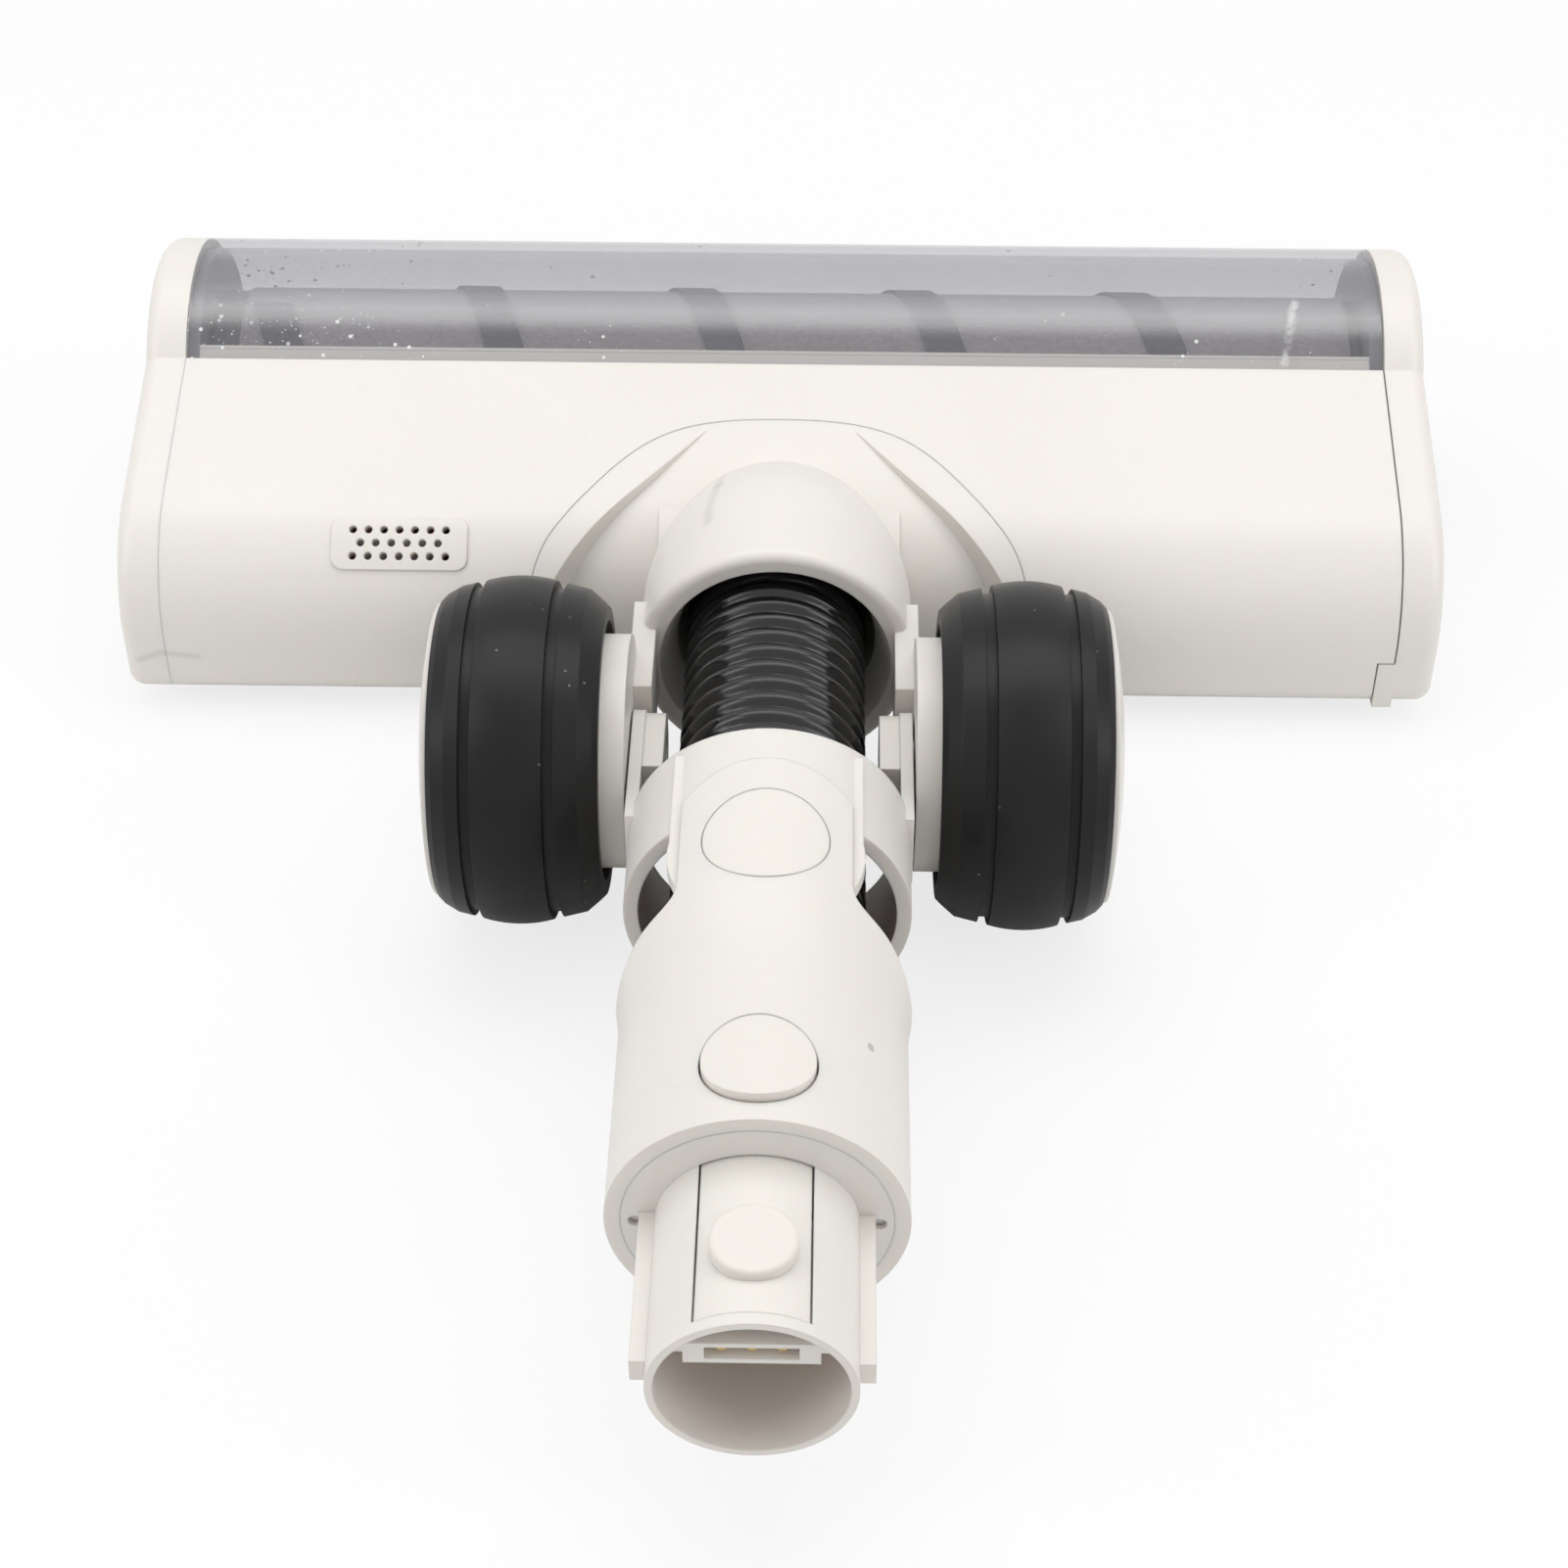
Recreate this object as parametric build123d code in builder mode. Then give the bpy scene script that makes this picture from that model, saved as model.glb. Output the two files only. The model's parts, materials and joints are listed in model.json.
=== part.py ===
from build123d import *
import math
import os

os.makedirs("parts", exist_ok=True)

# Motorised floor head of a stick vacuum, in millimetres.
# X runs across the head, Y points forward, Z is up from the floor.
# AHEAD sizes are measured forward from the wheel axle, BEHIND sizes backward along the neck.

# Running gaps
FIT = 0.3
RUNNING = 0.05
SEAM = 0.15

# Head
HEAD_WIDTH = 263.0
CAP_WIDTH = 8.8
WALL = 2.4
COVER_RADIUS = 29.5
COVER_AHEAD = 122.0
WINDOW_THICK = 2.0
WINDOW_REAR_ANGLE = 138.3
WINDOW_FRONT_ANGLE = -40.0
REAR_AHEAD = 48.0
DECK_REAR = 35.6
DECK_FILLET = 25.0
SOLE_Z = 4.0
SOLE_FILLET = 4.0
PLATE_THICK = 2.5
FOOT_BACK = 22.5
CAP_ROUND = 3.2
TAB_HEIGHT = 11.0
TAB_DEPTH = 3.0
EDGE_INSET = 10.7

# Roller and drive
ROLLER_GAP = 2.5
ROLLER_CLEAR = 0.4
ROLLER_BACK = 1.5
ROLLER_DROP = 5.0
ROLLER_ROOM = 1.2
BRISTLE_RISE = 0.8
PILE = 6.2
CORE_WALL = 2.0
BRISTLE_PITCH = 46.0
BRISTLE_WIDTH = 8.0
HUB_STEP = 1.5
DRIVE_SHAFT = 4.0
DRIVE_BEARING = 8.0
IDLER_SHAFT = 3.0
IDLER_BEARING = 7.0
MOTOR_AHEAD = 72.0
MOTOR_Z = 22.0
MOTOR_RADIUS = 13.5
MOTOR_LENGTH = 52.0
MOTOR_SHAFT = 1.6
MOTOR_PULLEY = 5.0
ROLLER_PULLEY = 11.0
BELT_THICK = 1.2
BELT_WIDTH = 4.0

# Wheels
WHEEL_RADIUS = 32.0
TYRE_INNER = 30.2
TYRE_WIDTH = 30.1
TYRE_THICK = 8.0
AXLE = 3.0
DISC_RADIUS = 21.5
DISC_INNER = 25.9
DISC_THICK = 5.3
SOLE_WHEEL = 5.0
SOLE_WHEEL_WIDTH = 8.0
SOLE_WHEEL_INSET = 47.7
SOLE_PIN = 1.0

# Hood, collar and sleeve
HOOD_RADIUS = 26.0
HOOD_MOUTH = 25.6
HOOD_NOSE = 78.0
NOSE_RADIUS = 6.6
HOOD_BORE = 19.0
BARREL_RADIUS = 25.0
BARREL_WALL = 2.6
BARREL_START = 22.0
BARREL_END = 42.5
PIVOT_BEHIND = 49.0
PEDESTAL_TOP = 20.2
PEDESTAL_THICK = 2.4
PEDESTAL_RADIUS = 16.6
TONGUE_RADIUS = 18.5
TONGUE_HALF = 14.5
SLEEVE_FRONT_RADIUS = 25.8
SLEEVE_RADIUS = 24.0
SLEEVE_BORE = 21.4
SLEEVE_END = 110.7
SWIVEL_PIN = 4.0
SWIVEL_CAP = 10.6
BUTTON_RADIUS = 9.0
BUTTON_BEHIND = 98.0

# Tube and hose
TUBE_RADIUS = 16.0
TUBE_WALL = 1.25
TUBE_START = 84.0
TUBE_END = 142.7
LATCH_HALF = 8.5
LATCH_BOSS = 6.7
LATCH_BOSS_BEHIND = 127.8
HOSE_RADIUS = 17.4
HOSE_BORE = 15.0
HOSE_RIB = 4.5

FRONT_REACH = COVER_AHEAD + COVER_RADIUS
AXLE_Y = (TUBE_END - FRONT_REACH) / 2
AXLE_Z = WHEEL_RADIUS
SEAM_X = HEAD_WIDTH / 2 - CAP_WIDTH
CHAMBER_RADIUS = COVER_RADIUS - WINDOW_THICK
ROLLER_RADIUS = CHAMBER_RADIUS - ROLLER_GAP
VELVET_RADIUS = ROLLER_RADIUS - BRISTLE_RISE
CORE_RADIUS = VELVET_RADIUS - PILE
HUB_RADIUS = ROLLER_RADIUS - HUB_STEP
TYRE_SEAT = WHEEL_RADIUS - TYRE_THICK
SOLE_WHEEL_X = SEAM_X - SOLE_WHEEL_INSET
EDGE_X = SEAM_X - EDGE_INSET
PLATE_TOP = SOLE_Z + PLATE_THICK
FAR = 200.0


def ahead(distance):
    """Y of a place this far in front of the wheel axle."""
    return AXLE_Y + distance


def behind(distance):
    """Y of a place this far back along the neck."""
    return AXLE_Y - distance


def neck_plane(distance):
    """Plane across the neck, looking back along it: x across, y up."""
    origin = (0, behind(distance), AXLE_Z)
    return Plane(origin=origin, x_dir=(1, 0, 0), z_dir=(0, -1, 0))


ROLLER = (ahead(COVER_AHEAD) - ROLLER_BACK, ROLLER_RADIUS + ROLLER_CLEAR)
COVER = (ahead(COVER_AHEAD), ROLLER[1] + ROLLER_DROP)
MOTOR = (ahead(MOTOR_AHEAD), MOTOR_Z)
REAR_Y = ahead(REAR_AHEAD)
FOOT_Y = COVER[0] - FOOT_BACK
NECK_AXIS = Axis((0, AXLE_Y, AXLE_Z), (0, 1, 0))
AXLE_AXIS = Axis((0, AXLE_Y, AXLE_Z), (1, 0, 0))
PIVOT = (0, behind(PIVOT_BEHIND))


def on_cover(radius, angle):
    """Point on a circle about the cover's axis, in the side view."""
    turn = math.radians(angle)
    return (COVER[0] + radius * math.cos(turn), COVER[1] + radius * math.sin(turn))


def cover_band(inner, outer, start, stop):
    """Ring sector about the cover's axis, in the side view."""
    middle = (start + stop) / 2
    with BuildSketch() as band:
        with BuildLine():
            Line(on_cover(inner, start), on_cover(outer, start))
            ThreePointArc(on_cover(outer, start), on_cover(outer, middle), on_cover(outer, stop))
            Line(on_cover(outer, stop), on_cover(inner, stop))
            ThreePointArc(on_cover(inner, stop), on_cover(inner, middle), on_cover(inner, start))
        make_face()
    return band.sketch


# Side view of the head: x forward, y up
window_rear = on_cover(COVER_RADIUS, WINDOW_REAR_ANGLE)
cover_foot = (COVER[0] + math.sqrt(COVER_RADIUS**2 - (COVER[1] - SOLE_Z) ** 2), SOLE_Z)
with BuildSketch() as head_side:
    with BuildLine():
        Polyline(window_rear, (REAR_Y, DECK_REAR), (REAR_Y, SOLE_Z), cover_foot)
        ThreePointArc(cover_foot, on_cover(COVER_RADIUS, 0), window_rear)
    make_face()
    fillet(vertices().group_by(Axis.X)[0].sort_by(Axis.Y)[-1], DECK_FILLET)
    fillet(vertices().group_by(Axis.X)[0].sort_by(Axis.Y)[0], SOLE_FILLET)

# Centre of the rounded rear edge of the deck
deck_slope = math.atan2(window_rear[1] - DECK_REAR, window_rear[0] - REAR_Y)
rear_round_z = DECK_REAR - DECK_FILLET / math.tan(math.pi / 4 + deck_slope / 2)
REAR_ROUND = (REAR_Y + DECK_FILLET, rear_round_z)


def deck_z(distance):
    """Height of the deck's flat this far in front of the axle."""
    return DECK_REAR + (distance - REAR_AHEAD) * math.tan(deck_slope)


# Shell behind the roller chamber
with BuildSketch() as shell_side:
    add(head_side.sketch)
    with Locations(COVER):
        Circle(CHAMBER_RADIUS, mode=Mode.SUBTRACT)
    with Locations(ROLLER):
        Circle(ROLLER_RADIUS + ROLLER_ROOM, mode=Mode.SUBTRACT)
    with BuildLine():
        Polyline(
            COVER,
            on_cover(3 * COVER_RADIUS, WINDOW_REAR_ANGLE),
            (FAR * 2, FAR),
            (FAR * 2, -FAR),
            (FOOT_Y, -FAR),
            (FOOT_Y, COVER[1]),
            close=True,
        )
    make_face(mode=Mode.SUBTRACT)

# Hollow of the shell, open at the sole
with BuildSketch() as cavity_side:
    offset(head_side.sketch, amount=-WALL, mode=Mode.ADD)
    with Locations(((REAR_Y + FOOT_Y) / 2, SOLE_Z)):
        Rectangle(FOOT_Y - REAR_Y - 2 * WALL, 4 * WALL)
    with Locations(COVER):
        Circle(CHAMBER_RADIUS + WALL, mode=Mode.SUBTRACT)
    with Locations(ROLLER):
        Circle(ROLLER_RADIUS + ROLLER_ROOM + WALL, mode=Mode.SUBTRACT)
    with Locations((FOOT_Y - WALL, COVER[1])):
        Rectangle(FAR, FAR, align=(Align.MIN, Align.CENTER), mode=Mode.SUBTRACT)


# Plan of the neck cowl
COWL_FRONT = 86.0
COWL_HALF = 50.0


def cowl_plan(gap):
    """Plan of the neck cowl, which parts the rear of the shell, drawn in by a gap."""
    with BuildSketch() as plan:
        with BuildLine():
            edge = Spline(
                (0, ahead(COWL_FRONT) - gap),
                (26.6 - 0.6 * gap, ahead(80) - 0.8 * gap),
                (42.8 - 0.8 * gap, ahead(62) - 0.6 * gap),
                (COWL_HALF - gap, REAR_Y),
                tangents=[(1, 0), (0.2, -1)],
            )
            Polyline(edge @ 1, (COWL_HALF - gap, REAR_Y - 10), (0, REAR_Y - 10))
            mirror(about=Plane.YZ)
        make_face()
    return plan.sketch


# Vent pad, raised on the rounded rear edge, and its rows of holes
VENT_X = -SOLE_WHEEL_X
vent_turn = math.radians(130)
vent_origin = (
    VENT_X,
    REAR_ROUND[0] + DECK_FILLET * math.cos(vent_turn),
    REAR_ROUND[1] + DECK_FILLET * math.sin(vent_turn),
)
vent_plane = Plane(
    origin=vent_origin,
    x_dir=(1, 0, 0),
    z_dir=(0, math.cos(vent_turn), math.sin(vent_turn)),
)
with BuildPart() as vent_pad:
    with BuildSketch(vent_plane.offset(-WALL * 0.8)):
        RectangleRounded(27, 10.7, 2.4)
    extrude(amount=2 * WALL)
    with BuildSketch(Plane.YZ.offset(VENT_X)):
        with Locations(REAR_ROUND):
            Circle(DECK_FILLET + 0.45)
    extrude(amount=20, both=True, mode=Mode.INTERSECT)

with BuildPart() as vent_holes:
    with BuildSketch(vent_plane.offset(-3 * WALL)):
        with GridLocations(3.07, 5.32, 7, 2):
            Circle(0.78)
        with GridLocations(3.07, 1, 6, 1):
            Circle(0.78)
    extrude(amount=5 * WALL)

# Screws of the base plate
SCREW_BOSS = 3.0
REAR_BOSS = 19.0
FRONT_BOSS = 39.0
SCREW_SHANK = 1.05
SCREW_HOLE = 1.4
SCREW_HEAD = 2.6
HEAD_ROOM = 0.2
HEAD_SINK = 1.2
HEAD_HEIGHT = 1.1
rear_screws = [(-EDGE_X, ahead(54)), (EDGE_X, ahead(54))]
front_screws = [(-60, ahead(91)), (60, ahead(91))]

with BuildPart() as upper_housing:
    with BuildSketch(Plane.YZ):
        add(shell_side.sketch)
    extrude(amount=SEAM_X, both=True)
    with BuildSketch(Plane.YZ):
        add(cavity_side.sketch)
    extrude(amount=SEAM_X - WALL, both=True, mode=Mode.SUBTRACT)
    # closed left end, which carries the drive bearing
    with BuildSketch(Plane.YZ.offset(-SEAM_X)):
        add(head_side.sketch)
        add(
            cover_band(CHAMBER_RADIUS - SEAM, 2 * COVER_RADIUS, -80, WINDOW_REAR_ANGLE),
            mode=Mode.SUBTRACT,
        )
    extrude(amount=WALL)
    with BuildSketch(Plane.YZ.offset(-SEAM_X)):
        with Locations(ROLLER):
            Circle(DRIVE_BEARING)
        with Locations(MOTOR):
            Circle(MOTOR_PULLEY + 1)
    extrude(amount=WALL, mode=Mode.SUBTRACT)
    # ledge under the rear edge of the window
    with BuildSketch(Plane.YZ):
        add(cover_band(CHAMBER_RADIUS - 1.6, CHAMBER_RADIUS, 132, 146))
    extrude(amount=SEAM_X - WALL, both=True)
    # screw bosses
    with BuildSketch(Plane.XY.offset(PLATE_TOP)):
        with Locations(*rear_screws):
            Circle(SCREW_BOSS)
    extrude(amount=REAR_BOSS)
    with BuildSketch(Plane.XY.offset(PLATE_TOP)):
        with Locations(*front_screws):
            Circle(SCREW_BOSS)
    extrude(amount=FRONT_BOSS)
    # vent
    add(vent_pad.part)
    add(vent_holes.part, mode=Mode.SUBTRACT)
    # seat of the base plate under the chamber wall
    with BuildSketch(Plane.XY):
        with Locations((0, REAR_Y + WALL)):
            Rectangle(2 * (SEAM_X - WALL), 60, align=(Align.CENTER, Align.MIN))
    extrude(amount=PLATE_TOP, mode=Mode.SUBTRACT)
    # suction opening into the neck
    with BuildSketch(Plane.XY.offset(10.5)):
        with Locations((0, FOOT_Y - 4)):
            Rectangle(40, 16)
    extrude(amount=15, mode=Mode.SUBTRACT)
    # screw holes
    with BuildSketch(Plane.XY.offset(PLATE_TOP)):
        with Locations(*rear_screws, *front_screws):
            Circle(SCREW_SHANK + RUNNING)
    extrude(amount=10, mode=Mode.SUBTRACT)
    # room for the cowl and for the tab of the right cap
    with BuildSketch(Plane.XY):
        add(cowl_plan(0))
    extrude(amount=FAR, mode=Mode.SUBTRACT)
    with BuildSketch(Plane.XY):
        with Locations((SEAM_X + 5, REAR_Y - 2)):
            Rectangle(TAB_DEPTH + FIT + 5, 6 + FIT, align=(Align.MAX, Align.MIN))
    extrude(amount=SOLE_Z + TAB_HEIGHT + FIT, mode=Mode.SUBTRACT)
upper_housing.part.label = "upper_housing"
export_step(upper_housing.part, "parts/upper_housing.step")

# Clear cover over the roller
with BuildPart() as window:
    with BuildSketch(Plane.YZ):
        add(cover_band(CHAMBER_RADIUS, COVER_RADIUS, WINDOW_FRONT_ANGLE, WINDOW_REAR_ANGLE))
    extrude(amount=SEAM_X - SEAM, both=True)
window.part.label = "window"
export_step(window.part, "parts/window.step")

# End caps, hollow behind a rounded outer face
CAP_POCKET = CAP_WIDTH - WALL
with BuildPart() as left_end_cap:
    with BuildSketch(Plane.YZ.offset(-SEAM_X)):
        add(head_side.sketch)
    extrude(amount=-CAP_WIDTH)
    fillet(faces().sort_by(Axis.X)[0].edges(), CAP_ROUND)
    with BuildSketch(Plane.YZ.offset(-SEAM_X)):
        offset(head_side.sketch, amount=-WALL, mode=Mode.ADD)
    extrude(amount=-CAP_POCKET, mode=Mode.SUBTRACT)
left_end_cap.part.label = "left_end_cap"
export_step(left_end_cap.part, "parts/left_end_cap.step")

SPIGOT_RADIUS = CHAMBER_RADIUS - FIT
IDLER_SEAT = SEAM_X - 2.2
IDLER_LENGTH = 4.0
with BuildPart() as right_end_cap:
    with BuildSketch(Plane.YZ.offset(SEAM_X + FIT)):
        add(head_side.sketch)
    extrude(amount=CAP_WIDTH - FIT)
    fillet(faces().sort_by(Axis.X)[-1].edges(), CAP_ROUND)
    with BuildSketch(Plane.YZ.offset(SEAM_X + FIT)):
        offset(head_side.sketch, amount=-WALL, mode=Mode.ADD)
    extrude(amount=CAP_POCKET - FIT, mode=Mode.SUBTRACT)
    # spigot that closes the chamber and holds the idler bearing
    with BuildSketch(Plane.YZ.offset(SEAM_X - WALL)):
        with Locations(COVER):
            Circle(SPIGOT_RADIUS)
        with Locations((COVER[0], SOLE_Z)):
            Rectangle(FAR, FAR, align=(Align.CENTER, Align.MAX), mode=Mode.SUBTRACT)
    extrude(amount=WALL + FIT)
    with BuildSketch(Plane.YZ.offset(SEAM_X)):
        with Locations(ROLLER):
            Circle(IDLER_BEARING + WALL)
    extrude(amount=CAP_POCKET)
    with BuildSketch(Plane.YZ.offset(SEAM_X - WALL)):
        with Locations(ROLLER):
            Circle(IDLER_BEARING)
    extrude(amount=WALL + 2.2, mode=Mode.SUBTRACT)
    # release tab round the rear corner
    with BuildSketch(Plane.XY.offset(SOLE_Z)):
        with Locations((SEAM_X + FIT + 0.5, REAR_Y)):
            Rectangle(TAB_DEPTH + FIT + 0.5, WALL - SEAM, align=(Align.MAX, Align.MIN))
    extrude(amount=TAB_HEIGHT)
right_end_cap.part.label = "right_end_cap"
export_step(right_end_cap.part, "parts/right_end_cap.step")

with BuildPart() as idler_bearing:
    with BuildSketch(Plane.YZ.offset(IDLER_SEAT)):
        with Locations(ROLLER):
            Circle(IDLER_BEARING)
            Circle(IDLER_SHAFT + RUNNING, mode=Mode.SUBTRACT)
    extrude(amount=IDLER_LENGTH)
idler_bearing.part.label = "idler_bearing"
export_step(idler_bearing.part, "parts/idler_bearing.step")

with BuildPart() as drive_bearing:
    with BuildSketch(Plane.YZ.offset(-SEAM_X)):
        with Locations(ROLLER):
            Circle(DRIVE_BEARING)
            Circle(DRIVE_SHAFT + RUNNING, mode=Mode.SUBTRACT)
    extrude(amount=WALL)
drive_bearing.part.label = "drive_bearing"
export_step(drive_bearing.part, "parts/drive_bearing.step")

# Roller
ROLLER_LEFT = -SEAM_X + WALL + 1.0
ROLLER_RIGHT = SEAM_X - WALL - 0.5
DRIVE_HUB_LENGTH = 5.7
IDLER_HUB_LENGTH = 2.2
SLEEVE_LEFT = ROLLER_LEFT + DRIVE_HUB_LENGTH
SLEEVE_RIGHT = ROLLER_RIGHT - IDLER_HUB_LENGTH
PULLEY_FACE = -SEAM_X - 1.1
with BuildPart() as roller_core:
    with BuildSketch(Plane.YZ.offset(SLEEVE_LEFT)):
        with Locations(ROLLER):
            Circle(CORE_RADIUS)
            Circle(CORE_RADIUS - CORE_WALL, mode=Mode.SUBTRACT)
    extrude(amount=SLEEVE_RIGHT - SLEEVE_LEFT)
roller_core.part.label = "roller_core"
export_step(roller_core.part, "parts/roller_core.step")

with BuildPart() as roller_velvet:
    with BuildSketch(Plane.YZ.offset(SLEEVE_LEFT)):
        with Locations(ROLLER):
            Circle(VELVET_RADIUS)
            Circle(CORE_RADIUS, mode=Mode.SUBTRACT)
    extrude(amount=SLEEVE_RIGHT - SLEEVE_LEFT)
roller_velvet.part.label = "roller_velvet"
export_step(roller_velvet.part, "parts/roller_velvet.step")

BRISTLE_LEFT = SLEEVE_LEFT + 6.0
BRISTLE_LENGTH = SLEEVE_RIGHT - SLEEVE_LEFT - 12.0
bristle_middle = (VELVET_RADIUS + ROLLER_RADIUS) / 2 + RUNNING / 2
with BuildPart() as bristle_strip:
    with BuildLine():
        wrap = Helix(
            pitch=BRISTLE_PITCH,
            height=BRISTLE_LENGTH,
            radius=bristle_middle,
            center=(BRISTLE_LEFT, ROLLER[0], ROLLER[1]),
            direction=(1, 0, 0),
        )
    start = wrap @ 0
    outward = Vector(0, start.Y - ROLLER[0], start.Z - ROLLER[1])
    with BuildSketch(Plane(origin=start, x_dir=(1, 0, 0), z_dir=outward.cross(Vector(1, 0, 0)))):
        Rectangle(BRISTLE_WIDTH, ROLLER_RADIUS - VELVET_RADIUS - RUNNING)
    sweep(path=wrap, is_frenet=True)
bristle_strip.part.label = "bristle_strip"
export_step(bristle_strip.part, "parts/bristle_strip.step")

with BuildPart() as drive_hub:
    with BuildSketch(Plane.YZ.offset(ROLLER_LEFT)):
        with Locations(ROLLER):
            Circle(HUB_RADIUS)
    extrude(amount=DRIVE_HUB_LENGTH)
    with BuildSketch(Plane.YZ.offset(ROLLER_LEFT)):
        with Locations(ROLLER):
            Circle(DRIVE_SHAFT)
    extrude(amount=PULLEY_FACE - ROLLER_LEFT)
    with BuildSketch(Plane.YZ.offset(SLEEVE_LEFT)):
        with Locations(ROLLER):
            Circle(CORE_RADIUS - CORE_WALL - SEAM)
            Circle(CORE_RADIUS - 2 * CORE_WALL, mode=Mode.SUBTRACT)
    extrude(amount=8)
drive_hub.part.label = "drive_hub"
export_step(drive_hub.part, "parts/drive_hub.step")

with BuildPart() as idler_hub:
    with BuildSketch(Plane.YZ.offset(ROLLER_RIGHT)):
        with Locations(ROLLER):
            Circle(HUB_RADIUS)
    extrude(amount=-IDLER_HUB_LENGTH)
    with BuildSketch(Plane.YZ.offset(ROLLER_RIGHT)):
        with Locations(ROLLER):
            Circle(IDLER_SHAFT)
    extrude(amount=IDLER_SEAT + IDLER_LENGTH - ROLLER_RIGHT - 0.5)
    with BuildSketch(Plane.YZ.offset(SLEEVE_RIGHT)):
        with Locations(ROLLER):
            Circle(CORE_RADIUS - CORE_WALL - SEAM)
            Circle(CORE_RADIUS - 2 * CORE_WALL, mode=Mode.SUBTRACT)
    extrude(amount=-8)
idler_hub.part.label = "idler_hub"
export_step(idler_hub.part, "parts/idler_hub.step")

# Belt drive in the left cap
PULLEY_WIDTH = BELT_WIDTH + 0.5
with BuildPart() as roller_pulley:
    with BuildSketch(Plane.YZ.offset(PULLEY_FACE)):
        with Locations(ROLLER):
            Circle(ROLLER_PULLEY)
    extrude(amount=-PULLEY_WIDTH)
roller_pulley.part.label = "roller_pulley"
export_step(roller_pulley.part, "parts/roller_pulley.step")

MOTOR_LEFT = -SEAM_X + WALL + 2.3
MOTOR_SOCKET = 6.0
with BuildPart() as motor_pulley:
    with BuildSketch(Plane.YZ.offset(PULLEY_FACE)):
        with Locations(MOTOR):
            Circle(MOTOR_PULLEY)
    extrude(amount=-PULLEY_WIDTH)
    with BuildSketch(Plane.YZ.offset(PULLEY_FACE)):
        with Locations(MOTOR):
            Circle(MOTOR_SHAFT)
    extrude(amount=MOTOR_LEFT + MOTOR_SOCKET - 0.5 - PULLEY_FACE)
motor_pulley.part.label = "motor_pulley"
export_step(motor_pulley.part, "parts/motor_pulley.step")

with BuildPart() as motor:
    with BuildSketch(Plane.YZ.offset(MOTOR_LEFT)):
        with Locations(MOTOR):
            Circle(MOTOR_RADIUS)
    extrude(amount=MOTOR_LENGTH)
    chamfer(edges().filter_by(GeomType.CIRCLE), 1.2)
    with BuildSketch(Plane.YZ.offset(MOTOR_LEFT)):
        with Locations(MOTOR):
            Circle(MOTOR_SHAFT + RUNNING)
    extrude(amount=MOTOR_SOCKET, mode=Mode.SUBTRACT)
motor.part.label = "motor"
export_step(motor.part, "parts/motor.step")

with BuildSketch() as belt_run:
    with Locations(ROLLER):
        Circle(ROLLER_PULLEY + FIT)
    with Locations(MOTOR):
        Circle(MOTOR_PULLEY + FIT)
    make_hull()
with BuildPart() as drive_belt:
    with BuildSketch(Plane.YZ.offset(PULLEY_FACE - 0.25)):
        offset(belt_run.sketch, amount=BELT_THICK, mode=Mode.ADD)
        add(belt_run.sketch, mode=Mode.SUBTRACT)
    extrude(amount=-BELT_WIDTH)
drive_belt.part.label = "drive_belt"
export_step(drive_belt.part, "parts/drive_belt.step")

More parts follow.
